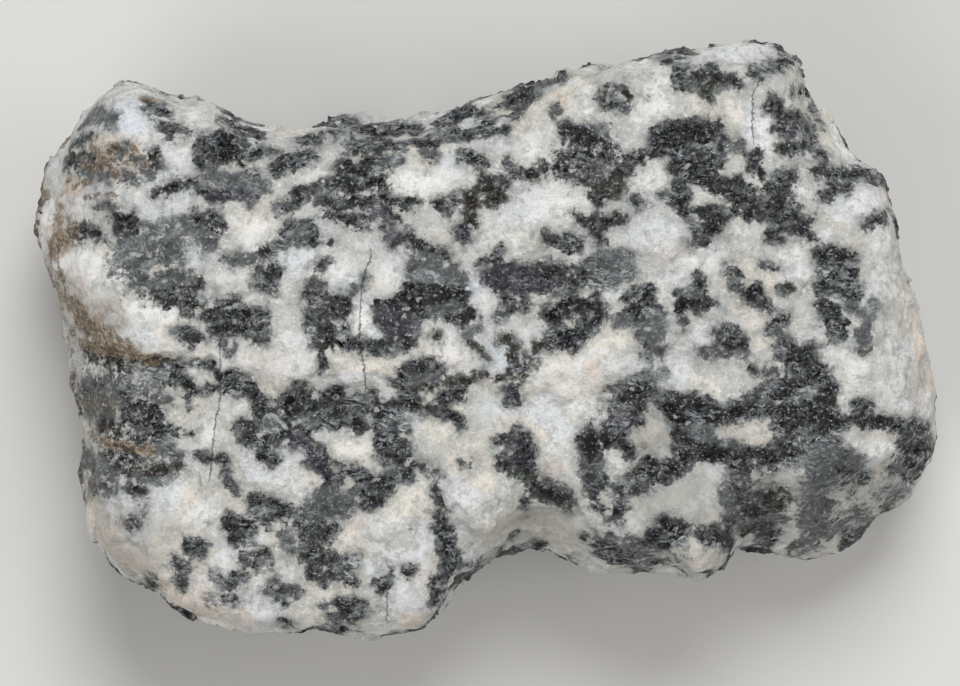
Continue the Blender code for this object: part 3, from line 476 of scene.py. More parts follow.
# %% Pale grains and flakes inside the dark areas, as rows like the strokes
PALE_GRAINS = [
    (0.35, -20.4, 2.1, -19.2, 2.2, -18.2, 2), (0.7, 12.2, 5.9, 12.6, 6.3), (0.5, 13.4, 6.2, 13.9, 6.3),
    (0.35, 10.9, 7.6, 11.1, 7.7), (0.5, 10.2, 1.9, 11, 1.8), (0.6, -7.9, -6.9, -7, -7.1),
    (1.2, 46.7, -12.7, 48.6, -13.6, 50.6, -14.8), (1.2, 34.6, -17.4, 37.2, -17.8),
    (0.8, 38.2, -21.6, 38, -24, 36.9, -26.8), (1.8, 45.4, -20.8, 48.4, -20.3),
    (1.3, 30.4, -11.8, 33, -11.6, 35.4, -12.4),
]
print("pale grains:", len(PALE_GRAINS))

# %% Hairline cracks: x and y of each point
CRACKS = [
    (-33.3, -0.1, -33.3, -3, -33.4, -7.5, -33.5, -8.5, -34, -11, -34.6, -17),
    (-14.4, 10.5, -15.6, 7, -15.7, 4.8, -15.9, -0.1, -15.3, -3.4, -15.1, -6.2),
    (34.2, 32.2, 33.4, 30.6, 33.4, 25.3), (-12.4, -31.7, -12.4, -34.8), (-12.2, -28.3, -11.8, -29.2),
]
print("cracks:", len(CRACKS))

# %% [markdown]
# ## Stains and tints
# Each pale crystal has its own cast, from bluish white to cream, and water has left rust along the
# weathered end. These are wide soft spots, named by colour. Each is a row of five numbers: x and y
# of its middle, its two radii and its strength.

# %% Soft spots of colour on the pale crystals
WARM_SPOTS = [
    (-47.6, 22.8, 5, 3, 1), (-52, 19.4, 3.4, 1.6, 0.9), (-41, 8.4, 2.6, 1, 0.6),
    (-40.5, 30.4, 3, 1, 0.5), (-30, 14.5, 3, 2.4, 0.35), (-28, -3, 3.6, 2.2, 0.4),
    (24, 11, 4, 2.4, 0.35), (-12.6, 7.2, 2, 1.8, 0.45), (-5.2, -2.2, 3.4, 1.8, 0.35),
    (13.2, -3.8, 1.2, 1.6, 0.8), (11.5, -5.6, 5.4, 1.6, 0.35), (8.9, 30, 1, 1.2, 0.8),
    (-16, -22.8, 1.6, 1.2, 0.5), (8.5, -16, 1.6, 1.6, 0.5), (20.8, -12, 1.6, 2.4, 0.55),
    (-35, -34, 2.6, 1.4, 0.6), (-31.5, -35, 2.6, 1.4, 0.6), (-9, -35.4, 2.2, 1.4, 0.8),
    (28, -22.4, 2, 1.4, 0.5), (27.3, -28.2, 2.4, 2.2, 0.5), (33, -12, 3, 1.8, 0.4),
    (0.2, -5.2, 0.8, 0.6, 0.8), (5.2, -4.6, 0.8, 0.6, 0.8), (7.8, -0.6, 0.6, 0.8, 0.9),
    (55.4, -1, 1.6, 8, 0.8), (-44, -28, 5, 3, 0.5), (-50, -21, 2, 3, 0.6), (-40, -32, 6, 2.4, 0.8),
    (-48, -26, 3, 3, 0.8), (-6, -30, 3, 2.4, 0.5), (6, -24, 6, 2, 0.6),
]
RUST_SPOTS = [
    (-54.6, 13, 3, 2.6, 1), (-55.6, 8, 1.8, 3.4, 0.8), (-49, 2.4, 4.4, 2.4, 0.8),
    (-52.6, 6, 2.4, 3, 0.6), (-46.6, -1, 4.4, 0.8, 0.8), (-40, -2, 0.9, 0.7, 0.8),
    (-50, -12, 2, 2.4, 0.4), (-50.4, -18, 1.2, 3, 0.6), (-48.6, -8.4, 2.6, 1.4, 0.5),
    (-54, 17, 2.4, 1.8, 0.6), (56.6, -4, 0.8, 4, 0.5), (-47.5, -23, 3, 2, 0.35),
    (-44, -28, 3, 1.6, 0.4), (-36, -34, 3, 1.2, 0.4), (-46.5, 22.6, 5, 2.2, 0.35),
    (-52.5, 19.2, 3, 1.4, 0.5),
]
COOL_SPOTS = [
    (-45, 28, 3, 2.4, 0.8), (-49, 18.8, 2.4, 1.6, 0.6), (-37, 10, 3, 1.6, 0.7), (-24, 9.5, 3, 2, 0.7),
    (33.8, 26, 2, 3, 0.7), (49, -13.7, 3.4, 1, 0.8), (-18, 7.4, 2.6, 1.8, 0.8), (-14, 2, 1.6, 2.6, 0.6),
    (-2, 6.4, 1.4, 1.4, 0.8), (1.2, -2.4, 1.6, 2.6, 0.8), (3, -8.4, 4, 1.4, 0.6), (17, 5.8, 2, 1, 0.6),
]
print("warm, rusty and cool spots:", len(WARM_SPOTS), len(RUST_SPOTS), len(COOL_SPOTS))

# %% Where both minerals are finely intergrown, dull feldspar plus painted shade, white plus painted light
INTERGROWN_SPOTS = [
    (-42.5, 8.5, 6, 4.5, 0.9), (-36, 13, 3.5, 2.5, 0.7), (-46.5, -9.5, 6.5, 8.5, 1),
    (-46, 22, 5, 3, 0.7), (-53.5, 13.5, 3, 2, 0.9), (-49.5, -16.5, 3, 3.5, 0.9), (45, -22, 8, 5, 0.8),
    (53.5, -15.5, 3, 4, 0.6), (36, -20, 5, 5, 0.6), (13, 22, 6, 3.5, 0.6), (23, -27, 5, 4, 0.6),
    (38, 18.5, 5, 4, 0.5), (-14, 17.5, 6, 4, 0.5), (-21, -23, 4, 3.5, 0.5),
]
# Partly dull grey feldspar, partly painted shade: these spots grey the feldspar where the surface slopes
# away from the light, mostly along the bottom edge and the lower right.
DULL_AND_SHADED_SPOTS = [
    (46, -21, 9, 6, 0.5), (-44, -25, 8, 5, 0.5), (35, -21, 5, 6, 0.6), (6, -24, 9, 2.6, 0.6),
    (-47, -8, 5, 3.5, 0.6), (-49.5, -16, 3, 4, 0.7), (-41, 8, 5, 4, 0.5), (-51, 3, 4, 3, 0.5),
    (21.5, -12, 5, 6, 0.8), (24, -20, 7, 5, 0.7), (27.5, -28, 3, 2.5, 0.5), (33, -12, 4, 2, 0.4),
]
# Partly whiter feldspar, partly painted light: these spots brighten slopes that the lamps leave dim, such
# as the left flank.
WHITE_AND_LIT_SPOTS = [
    (-51, 9.6, 3.6, 1.8, 1), (-47, 7.4, 4, 2.2, 1), (-42, 3.6, 4, 1.8, 1), (-52.5, 16.5, 3.2, 1.4, 0.8),
    (-46, 18.4, 3, 1.4, 0.5), (-28, 13, 3, 2.6, 0.7), (-7, 19, 4, 2.4, 0.7), (10, 17.6, 3.6, 3, 0.8),
    (34.5, 25.5, 2, 4, 0.5), (-12.5, 7.5, 2.2, 2.2, 0.5), (-15.6, 2, 1.8, 2.6, 0.7),
    (-20, 9, 3.6, 2.4, 0.7), (27, 9.8, 4, 1.6, 0.6), (49.5, 13, 2.4, 5, 0.5),
    (38.5, -24, 1.8, 3.4, 0.9), (49, -13.7, 3.4, 1.2, 0.9), (-5, -2.4, 4, 1.8, 0.5),
    (8.5, -4.6, 5, 2.2, 0.5), (-32, 8, 3.6, 1.6, 0.5), (-16.5, -13.4, 3, 2.4, 0.4),
]
print("intergrown, dull and white places:", len(INTERGROWN_SPOTS), len(DULL_AND_SHADED_SPOTS), len(WHITE_AND_LIT_SPOTS))

# %% Weathered streaks, brown and fibrous, as rows like the strokes
WEATHERED = [
    (0.9, -55.8, 14.4, -55.2, 12, -54.6, 9, -54.2, 6, -53.4, 3),
    (0.7, -54.2, 12.6, -52.6, 12.9, -51.8, 13.6),
    (1.2, -52.4, 4.6, -51.2, 2.8, -49.4, 1.2, -47.4, 0.2, -45.4, -0.9),
    (0.8, -52, -0.2, -49.4, -1, -46.8, -1.6, -44, -2, -41.4, -2.6),
    (0.8, -52.2, -1, -52.6, -4, -52.4, -7), (0.7, -50.4, -12.2, -47.4, -13, -44.8, -13.6, -42, -14),
    (0.45, -51.6, 22.4, -49.4, 21.4, -47.6, 22.4, -46.6, 24),
    (0.4, -49.6, 24.2, -48, 22.8, -46.4, 20.6), (0.35, -44.4, 24.2, -43, 22.6, -41.8, 21.2),
    (0.4, -54.4, 20.4, -52, 19.4, -49.8, 19.9), (0.35, -50.4, 17.8, -48.4, 18.4, -46.4, 18.2),
    (0.6, -43.2, 30.4, -40.4, 30.8, -38.4, 30.2),
]
print("weathered streaks:", len(WEATHERED))

# %% [markdown]
# ## The surface, step one: a fine even skin
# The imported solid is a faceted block, right in form but too coarse for crystals. A copy of it is
# remeshed into small even squares and smoothed until the facets' edges are gone. Only then does it
# carry relief at the size of a crystal.

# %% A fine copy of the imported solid
SKIN_VOXEL = 0.42
SKIN_SMOOTHING = 5
SMOOTHING_FACTOR = 0.5

cad_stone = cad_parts["diorite_stone"]


def applied(thing, name):
    """A new object with this one's modifiers applied. The old one goes."""
    graph = bpy.context.evaluated_depsgraph_get()
    mesh = bpy.data.meshes.new_from_object(thing.evaluated_get(graph))
    bpy.data.objects.remove(thing, do_unlink=True)
    mesh.name = name
    made = bpy.data.objects.new(name, mesh)
    bpy.context.scene.collection.objects.link(made)
    return made


stone = bpy.data.objects.new("stone_skin", cad_stone.data.copy())
bpy.context.scene.collection.objects.link(stone)
remesh = stone.modifiers.new("even_squares", "REMESH")
remesh.mode = "VOXEL"
remesh.voxel_size = SKIN_VOXEL * MM
smooth = stone.modifiers.new("no_facets", "SMOOTH")
smooth.factor = SMOOTHING_FACTOR
smooth.iterations = SKIN_SMOOTHING
stone = applied(stone, "diorite_surface")
print("skin:", len(stone.data.vertices), "points")

# %% Reading and moving the points, in millimetres
NOISE_SHIFT = (1.0, -0.7, 0.4)


def points_of(mesh):
    flat = np.empty(3 * len(mesh.vertices), np.float32)
    mesh.vertices.foreach_get("co", flat)
    return flat.reshape(-1, 3).astype(float) / MM


def normals_of(mesh):
    flat = np.empty(3 * len(mesh.vertices), np.float32)
    mesh.vertices.foreach_get("normal", flat)
    return flat.reshape(-1, 3).astype(float)


def move_points(mesh, points):
    mesh.vertices.foreach_set("co", (points * MM).astype(np.float32).ravel())
    mesh.update()


def noise_at(points, size, offset):
    """Smooth noise from about -1 to 1, with swells this many mm across. Each offset gives another."""
    shift = Vector([share * offset for share in NOISE_SHIFT])
    return np.array([noise.noise(Vector(p) / size + shift) for p in points])


print("points read in mm:", points_of(stone.data).shape)

# %% [markdown]
# ## The surface, step two: which mineral is where
# The strokes give the distance to the hornblende on the displayed face. The sides and the underside
# were not drawn, so there a 3-D noise with clots of the same size takes over, and the two blend
# where the face turns over its edge. A little noise of about 1 mm makes every border ragged.

# %% Distance to the strokes
AREAS = (UPPER_LEFT, UPPER_MIDDLE, UPPER_RIGHT, MIDDLE, LOWER_RIGHT, LOWER_LEFT, LOWER_MIDDLE)
STROKE_REACH = 4.0
TINY = 1e-9


def pairs(numbers):
    """Points from a flat row of x, y, x, y and so on."""
    return list(zip(numbers[0::2], numbers[1::2]))


STROKES = [
    (tone, [(x, y, width) for x, y in pairs(numbers)])
    for area in AREAS
    for tone, rows in area.items()
    for width, *numbers in rows
]
STROKES += TAPERED


def pieces(line):
    """The straight pieces of a line, each as its start and its end."""
    return zip(line[:-1], line[1:])


def near_line(flat_points, start, end, reach):
    """The points within reach of this piece of line, with how far along and beside it they are."""
    start, end = np.array(start[:2], float), np.array(end[:2], float)
    low = np.minimum(start, end) - reach
    high = np.maximum(start, end) + reach
    found = np.nonzero(np.all((flat_points > low) & (flat_points < high), axis=1))[0]
    way = end - start
    offset = flat_points[found] - start
    along = np.clip(offset @ way / max(way @ way, TINY), 0.0, 1.0)
    beside = np.linalg.norm(offset - along[:, None] * way, axis=1)
    return found, along, beside


def stroke_distance(flat_points):
    """Millimetres to the nearest dark stroke, below zero inside it, and that stroke's tone."""
    distance = np.full(len(flat_points), STROKE_REACH)
    nearest_tone = np.zeros(len(flat_points), int)
    for tone, line in STROKES:
        for start, end in pieces(line):
            found, along, beside = near_line(flat_points, start, end, STROKE_REACH)
            gap = beside - (start[2] + along * (end[2] - start[2]))
            closer = gap < distance[found]
            distance[found[closer]] = gap[closer]
            nearest_tone[found[closer]] = tone
    for width, *numbers in PALE_GRAINS:
        for start, end in pieces(pairs(numbers)):
            found, along, beside = near_line(flat_points, start, end, STROKE_REACH)
            distance[found] = np.maximum(distance[found], width - beside)
    return distance, nearest_tone


print("strokes in all:", len(STROKES))

# %% Clots where nothing was drawn
# They are two noises added up, each a size in mm, a swing and an offset. DARK_LEVEL sets how much of
# the rock is dark, and CLOT_SLOPE turns the noise to rough millimetres.
CLOT_WAVES = ((6.2, 1.0, 5.0), (0.45 * 6.2, 0.55, 17.0))
CLOT_BEND = 2.4
DARK_LEVEL = 0.03
CLOT_SLOPE = 3.4


def clot_distance(points, bend):
    """Rough millimetres to the edge of clots that run right through the stone."""
    bent = points + CLOT_BEND * bend
    level = sum(swing * noise_at(bent, size, offset) for size, swing, offset in CLOT_WAVES)
    return CLOT_SLOPE * (DARK_LEVEL - level)


print("clots, mm across:", [size for size, _, _ in CLOT_WAVES])

# %% The blend of the two
# FACE_SLOPE, FACE_HEIGHT and SHIFT_HEIGHT each say where a ramp starts and how far it takes. Each
# border wave is a size in mm, a swing in mm and an offset. STROKE_GROWTH makes up for what the
# ragged borders take from a stroke.
FACE_SLOPE = (0.07, 0.22)
FACE_HEIGHT = (12.0, 8.0)
SHIFT_HEIGHT = (25.0, -10.0)
SIDE_SHIFT = 9.0
SIDE_BEND_SIZE, SIDE_BEND_OFFSETS = 5.0, (11.0, 23.0, 37.0)
PALE_MOST = 2.5
STROKE_GROWTH = 0.17
BORDER_WAVES = ((2.3, 0.5, 41.0), (1.0, 0.5, 47.0), (0.5, 0.2, 53.0))


def dark_distance(points, up):
    """Millimetres to the hornblende, its tone, and the place on the face that gave them.

    up is the slope of the stone, 1 where it is level. On the face the place is straight above the
    point. Down a side it is shifted more and more, so that no stroke runs down as a stripe.
    """
    height = points[:, 2]
    bend = [noise_at(points, SIDE_BEND_SIZE, offset) for offset in SIDE_BEND_OFFSETS]
    bend = np.column_stack(bend)
    place = points[:, :2] + SIDE_SHIFT * ramp(height, *SHIFT_HEIGHT)[:, None] * bend[:, :2]
    drawn, tone = stroke_distance(place)
    on_face = ramp(up, *FACE_SLOPE) * ramp(height, *FACE_HEIGHT)
    drawn = np.minimum(drawn, PALE_MOST) - STROKE_GROWTH
    distance = on_face * drawn + (1.0 - on_face) * clot_distance(points, bend)
    for size, swing, offset in BORDER_WAVES:
        distance += swing * noise_at(points, size, offset)
    return distance, np.where(on_face > 0.5, tone, PLAIN), place


print("strokes fade out between", sum(FACE_HEIGHT), "and", FACE_HEIGHT[0], "mm above the floor")

# %% [markdown]
# ## The surface, step three: the relief of a fresh break
# A hammer break runs along the cleavage of each feldspar crystal, so the pale areas are a patchwork
# of small flats at slightly different tilts. Hornblende splinters and sits a little lower, with a
# rough grain. Both are made in one way: scattered middles, each point belonging to the nearest one,
# and each middle with its own tilt and height.

# %% Crystal flats
def crystal_flats(points, size, tilt, step, seed):
    """Height in mm of each point on the tilted flat of the crystal that it belongs to."""
    chance = random.Random(seed)
    low, high = points.min(axis=0) - size, points.max(axis=0) + size
    count = int(np.prod((high - low) / size))
    middles = [[chance.uniform(a, b) for a, b in zip(low, high)] for _ in range(count)]
    tilts = np.array([[chance.gauss(0.0, tilt) for _ in range(3)] for _ in range(count)])
    steps = np.array([chance.uniform(-step, step) for _ in range(count)])
    tree = kdtree.KDTree(count)
    for index, middle in enumerate(middles):
        tree.insert(middle, index)
    tree.balance()
    owner = np.array([tree.find(point)[1] for point in points])
    offset = points - np.array(middles)[owner]
    return np.einsum("ij,ij->i", offset, tilts[owner]) + steps[owner]


FELDSPAR_CRYSTALS = {"size": 3.4, "tilt": 0.07, "step": 0.1, "seed": 21}
FELDSPAR_FLAKES = {"size": 1.5, "tilt": 0.07, "step": 0.03, "seed": 22}
HORNBLENDE_CRYSTALS = {"size": 2.6, "tilt": 0.14, "step": 0.16, "seed": 24}
HORNBLENDE_GRAINS = {"size": 1.1, "tilt": 0.22, "step": 0.1, "seed": 23}
SIDE_BREAKS = {"size": 3.6, "tilt": 0.1, "step": 0.05, "seed": 25}
print("feldspar crystals are", FELDSPAR_CRYSTALS["size"], "mm across")

# %% The slope of the stone, evened out so that single crystals don't count
SPREAD_ROUNDS = 24


def spread_out(mesh, values):
    """The values, each averaged again and again with its neighbours along the mesh's edges."""
    ends = np.empty(2 * len(mesh.edges), np.int32)
    mesh.edges.foreach_get("vertices", ends)
    first, second = ends.reshape(-1, 2).T
    count = len(values)
    neighbours = np.bincount(first, minlength=count) + np.bincount(second, minlength=count)
    for _ in range(SPREAD_ROUNDS):
        total = np.bincount(first, values[second], count) + np.bincount(second, values[first], count)
        values = (values + total) / (1 + neighbours)
    return values


points, normals = points_of(stone.data), normals_of(stone.data)
up = spread_out(stone.data, normals[:, 2])
slope = stone.data.attributes.new("skin_up", "FLOAT", "POINT")
slope.data.foreach_set("value", up.astype(np.float32))
print("slope, 1 where level:", round(up.min(), 2), "to", round(up.max(), 2))

# %% The relief, weaker on the sides and none where the stone rests
# TOP_SLOPE is where a ramp starts and how far it takes. The swells and heights are in mm.
HORNBLENDE_DEPTH = 0.14
MINERAL_BLEND = 0.7
RAGGED_SWELL, RAGGED_REACH, RAGGED_OFFSETS = 1.2, 0.5, (61.0, 67.0, 71.0)
WAVE_SWELL, WAVE_HEIGHT, WAVE_OFFSET = 5.0, 0.06, 91.0
TOP_SLOPE = (0.2, 0.5)
SIDE_RELIEF = 0.45
RESTING_HEIGHT = 1.5

distance, _, _ = dark_distance(points, up)
dark = smooth_step(0.5 - distance / MINERAL_BLEND)
wander = [noise_at(points, RAGGED_SWELL, offset) for offset in RAGGED_OFFSETS]
ragged = points + RAGGED_REACH * np.column_stack(wander)
pale_relief = crystal_flats(ragged, **FELDSPAR_CRYSTALS) + crystal_flats(ragged, **FELDSPAR_FLAKES)
dark_relief = crystal_flats(ragged, **HORNBLENDE_GRAINS)
dark_relief += crystal_flats(ragged, **HORNBLENDE_CRYSTALS)
relief = (1.0 - dark) * pale_relief + dark * (dark_relief - HORNBLENDE_DEPTH)
relief += WAVE_HEIGHT * noise_at(points, WAVE_SWELL, WAVE_OFFSET)
on_top = ramp(up, *TOP_SLOPE)
relief *= SIDE_RELIEF + (1.0 - SIDE_RELIEF) * on_top
relief += (1.0 - on_top) * crystal_flats(points, **SIDE_BREAKS)
resting = smooth_step(points[:, 2] / RESTING_HEIGHT)
move_points(stone.data, points + normals * (relief * resting)[:, None])
print("relief, mm:", round(relief.min(), 2), "to", round(relief.max(), 2))

# %% [markdown]
# ## The surface, step four: fewer faces
# Flat crystal faces need few triangles and ragged borders need many, and the Decimate modifier
# spends them that way.

# %% Decimate
MOST_TRIANGLES = 192_000

triangles = sum(len(face.vertices) - 2 for face in stone.data.polygons)
fewer = stone.modifiers.new("fewer_faces", "DECIMATE")
fewer.ratio = min(1.0, MOST_TRIANGLES / triangles)
stone = applied(stone, "diorite_surface")
stone.data.shade_smooth()
print("triangles:", triangles, "to", sum(len(face.vertices) - 2 for face in stone.data.polygons))

# %% [markdown]
# ## The surface, step five: what the finish has to know
# At each point the finish needs the distance to the hornblende and the strength of every stain,
# crack and streak. They could be painted on an image, but a shader can also read values that are
# stored on the mesh, and these need no unwrapping. They are measured on the points that are left.

# %% Spots, cracks and streaks
SPOT_EDGE = 1.5
CRACK_REACH, CRACK_SURE, NO_CRACK = 1.5, 1.6, 3.0
STREAK_REACH, STREAK_EDGE = 3.0, 0.5
SPOTS = {
    "warm": WARM_SPOTS,
    "cool": COOL_SPOTS,
    # The dull spots carry painted shade as well as dull grey feldspar.
    "dull_and_shaded": DULL_AND_SHADED_SPOTS,
    # The white spots carry painted light as well as whiter feldspar.
    "white_and_lit": WHITE_AND_LIT_SPOTS,
    "intergrown": INTERGROWN_SPOTS,
    "rust": RUST_SPOTS,
}


def spot_strength(flat_points, spots):
    """The full amount within half a radius of each spot's middle, 0 from one and a half radii on."""
    strength = np.zeros(len(flat_points))
    for x, y, half_length, half_width, amount in spots:
        away = np.linalg.norm((flat_points - (x, y)) / (half_length, half_width), axis=1)
        strength = np.maximum(strength, amount * smooth_step(SPOT_EDGE - away))
    return strength


def crack_sides(flat_points):
    """Signed mm to the nearest crack, left of it or right, and how surely the point is beside one."""
    side = np.full(len(flat_points), NO_CRACK)
    sure = np.zeros(len(flat_points))
    for numbers in CRACKS:
        for start, end in pieces(pairs(numbers)):
            found, along, beside = near_line(flat_points, start, end, CRACK_REACH)
            way = np.array(end) - np.array(start)
            offset = flat_points[found] - np.array(start)
            left = np.sign(way[0] * offset[:, 1] - way[1] * offset[:, 0])
            closer = beside < np.abs(side[found])
            side[found[closer]] = (left * beside)[closer]
            sure[found[closer]] = smooth_step(CRACK_SURE - beside[closer])
    return side, sure


def streak_strength(flat_points, streaks):
    """1 inside the streaks, 0 from half a millimetre outside them."""
    strength = np.zeros(len(flat_points))
    for width, *numbers in streaks:
        for start, end in pieces(pairs(numbers)):
            found, along, beside = near_line(flat_points, start, end, STREAK_REACH)
            strength[found] = np.maximum(strength[found], smooth_step(STREAK_EDGE - (beside - width)))
    return strength


print("spots in all:", sum(map(len, SPOTS.values())))

# %% Measure them and store them
# SPOT_SLOPE, WEATHERED_END and WEATHERED_SLOPE are ramps too: a start and how far each takes.
SPOT_SLOPE = (0.1, 0.3)
WEATHERED_END = (-49.0, -6.0)
WEATHERED_SLOPE = (0.4, -0.4)
WEATHERED_SHARE = 0.7
TONES = {"black": BLACK, "grey": GREY, "brown": BROWN, "violet": VIOLET, "olive": OLIVE}

points = points_of(stone.data)
up = np.empty(len(points), np.float32)
stone.data.attributes["skin_up"].data.foreach_get("value", up)
distance, tone, place = dark_distance(points, up)
face_up = ramp(up, *SPOT_SLOPE)
weathered_end = ramp(points[:, 0], *WEATHERED_END) * ramp(up, *WEATHERED_SLOPE)
streaks = streak_strength(place, WEATHERED) * face_up
crack_side, crack_sure = crack_sides(place)
STORED = {name: spot_strength(place, spots) * face_up for name, spots in SPOTS.items()}
STORED["rust"] = np.maximum(STORED["rust"], weathered_end)
STORED["hornblende_mm"] = distance
STORED["weathered"] = np.maximum(streaks, WEATHERED_SHARE * weathered_end)
STORED["crack_mm"] = crack_side
STORED["crack_sure"] = crack_sure * face_up
for name, number in TONES.items():
    STORED["tone_" + name] = tone == number
for name, values in STORED.items():
    attribute = stone.data.attributes.new(name, "FLOAT", "POINT")
    attribute.data.foreach_set("value", values.astype(np.float32))
print("dark share of the points:", round(float((distance < 0).mean()), 2))

# %% [markdown]
# ## The rock's finish
# Plagioclase is a glassy mineral, but it is broken here at every scale, so it looks like coarse
# sugar: soft white with a faint cast of its own in each crystal, grey and half clear along its
# borders, with a dull gleam. Hornblende is near black. It splits along flat cleavage faces, so one
# crystal looks black and the next one slate grey, and some sparkle. That slate grey sheen and the
# sparkle are painted highlights in the colour. One Principled shader carries both minerals, and the
# stored distance to the hornblende chooses between them.

# %% One function that adds a node
diorite = bpy.data.materials.new("diorite_fresh_break")
diorite.use_nodes = True
tree = diorite.node_tree
shader = tree.nodes["Principled BSDF"]


def add(kind, inputs=None, **settings):
    """Adds a node with its settings, and fills its inputs with values or with other nodes' outputs."""
    made = tree.nodes.new(kind)
    for name, value in settings.items():
        setattr(made, name, value)
    for socket, value in (inputs or {}).items():
        if isinstance(value, bpy.types.NodeSocket):
            tree.links.new(value, made.inputs[socket])
        else:
            made.inputs[socket].default_value = value
    return made


print("finish:", diorite.name)

# %% Places on the stone, in millimetres, and the same places a little bent
BEND_SWELL = 1.6
BEND_REACH = 1.5
NOISE_MIDDLE = (0.5, 0.5, 0.5)

in_metres = add("ShaderNodeTexCoord").outputs["Object"]
in_mm = add("ShaderNodeVectorMath", {0: in_metres, 3: 1 / MM}, operation="SCALE").outputs[0]
inputs = {"Vector": in_mm, "Scale": 1 / BEND_SWELL, "Detail": 3.0}
bender = add("ShaderNodeTexNoise", inputs).outputs["Color"]
bend = add("ShaderNodeVectorMath", {0: bender, 1: NOISE_MIDDLE}, operation="SUBTRACT").outputs[0]
reach = (BEND_REACH, BEND_REACH, BEND_REACH)
bent = add("ShaderNodeVectorMath", {0: bend, 1: reach, 2: in_mm}, operation="MULTIPLY_ADD").outputs[0]
print("crystal borders bend by up to about", BEND_REACH / 2, "mm")

# %% The values stored on the mesh
pattern = {}
for name in STORED:
    pattern[name] = add("ShaderNodeAttribute", attribute_name=name).outputs["Fac"]
print("values read from the mesh:", len(pattern))

# %% Noise patterns: mm across a swell, detail, roughness, distortion
# The finest grains of a real break are smaller than a pixel of the picture, so sugar, pepper and
# flakes are drawn coarser, as large as they need to be to show.
NOISES = {
    "border": (1.2, 4.0, 0.66, 0.0),
    "fine_border": (0.5, 2.0, 0.65, 0.0),
    "cloudy": (4.0, 3.0, 0.6, 0.4),
    "veins": (2.0, 4.0, 0.72, 0.3),
    "patchy": (1.3, 3.0, 0.65, 0.0),
    "sugar": (0.42, 2.0, 0.75, 0.0),
    "pepper": (0.62, 2.0, 0.6, 0.0),
    "flake": (0.45, 1.0, 0.5, 0.0),
    "shade": (3.0, 2.0, 0.5, 0.0),
}
for name, (size, detail, roughness, distortion) in NOISES.items():
    inputs = {"Vector": in_mm, "Scale": 1 / size, "Detail": detail, "Roughness": roughness}
    inputs["Distortion"] = distortion
    pattern[name] = add("ShaderNodeTexNoise", inputs).outputs["Fac"]
print("noise patterns:", len(NOISES))

# %% Weathered fibres: noise drawn out along the grain of the decayed crystals
FIBRE_WIDTH = 0.45
FIBRE_LENGTH = 2.6
FIBRE_TURN = -0.45

inputs = {"Vector": in_mm, "Rotation": (0.0, 0.0, FIBRE_TURN)}
inputs["Scale"] = (FIBRE_LENGTH, FIBRE_WIDTH, FIBRE_WIDTH)
along_grain = add("ShaderNodeMapping", inputs, vector_type="TEXTURE").outputs[0]
inputs = {"Vector": along_grain, "Scale": 1.0, "Detail": 5.0, "Roughness": 0.65}
pattern["fibre"] = add("ShaderNodeTexNoise", inputs).outputs["Fac"]
print("fibres, mm:", FIBRE_WIDTH, "by", FIBRE_LENGTH)

# %% Crystals: mm across, and how many times longer than wide
# Each cell of the pattern is one crystal, and its colour gives it three chances of its own.
CRYSTALS = {"feldspar": (4.6, 1.3), "hornblende": (2.1, 1.8), "cleavage": (0.8, 1.4), "glint": (0.34, 1.0)}
crystal_place = {}
cells = {}
for name, (size, length) in CRYSTALS.items():
    inputs = {0: bent, 1: (1 / length, 1.0, 1.0)}
    crystal_place[name] = add("ShaderNodeVectorMath", inputs, operation="MULTIPLY").outputs[0]
    inputs = {"Vector": crystal_place[name], "Scale": 1 / size}
    cells[name] = add("ShaderNodeTexVoronoi", inputs, feature="F1").outputs
    chances = add("ShaderNodeSeparateColor", {0: cells[name]["Color"]})
    for channel, ending in enumerate(("_first", "_second", "_third")):
        pattern[name + ending] = chances.outputs[channel]
    pattern[name + "_away"] = cells[name]["Distance"]
print("crystal patterns:", len(CRYSTALS))

# %% The flat of each cleavage face: how far along it the point is, times the crystal's own tilt
inputs = {0: crystal_place["cleavage"], 1: cells["cleavage"]["Position"]}
offset = add("ShaderNodeVectorMath", inputs, operation="SUBTRACT").outputs[0]
inputs = {0: cells["cleavage"]["Color"], 1: NOISE_MIDDLE}
tilt = add("ShaderNodeVectorMath", inputs, operation="SUBTRACT").outputs[0]
face = add("ShaderNodeVectorMath", {0: offset, 1: tilt}, operation="DOT_PRODUCT")
pattern["cleavage_face"] = face.outputs["Value"]
print("cleavage faces, mm:", CRYSTALS["cleavage"][0])

# %% Splinters: noise drawn out along each hornblende crystal's own direction
SPLINTER_WIDTH = 0.42
SPLINTER_LENGTH = 2.0
TURN_RANGE = (-1.0, 0.5)

inputs = {0: pattern["hornblende_second"], 3: TURN_RANGE[0], 4: TURN_RANGE[1]}
turn = add("ShaderNodeMapRange", inputs).outputs[0]
turned = add("ShaderNodeVectorRotate", {"Vector": bent, "Angle": turn}, rotation_type="Z_AXIS").outputs[0]
narrow = (1 / SPLINTER_LENGTH, 1 / SPLINTER_WIDTH, 1 / SPLINTER_WIDTH)
drawn_out = add("ShaderNodeVectorMath", {0: turned, 1: narrow}, operation="MULTIPLY").outputs[0]
inputs = {"Vector": drawn_out, "Scale": 1.0, "Detail": 3.0, "Roughness": 0.6}
pattern["splinter"] = add("ShaderNodeTexNoise", inputs).outputs["Fac"]
print("splinters, mm:", SPLINTER_WIDTH, "by", SPLINTER_LENGTH)

# %% The border: stored distance, made ragged, and more so where the two minerals are intergrown
BORDER_RAGGED = {"border": (2.6, 5.5), "fine_border": (1.1, 2.6)}
INTERGROWN_KEEPS = 0.45
INTERGROWN_DARKER = -0.3

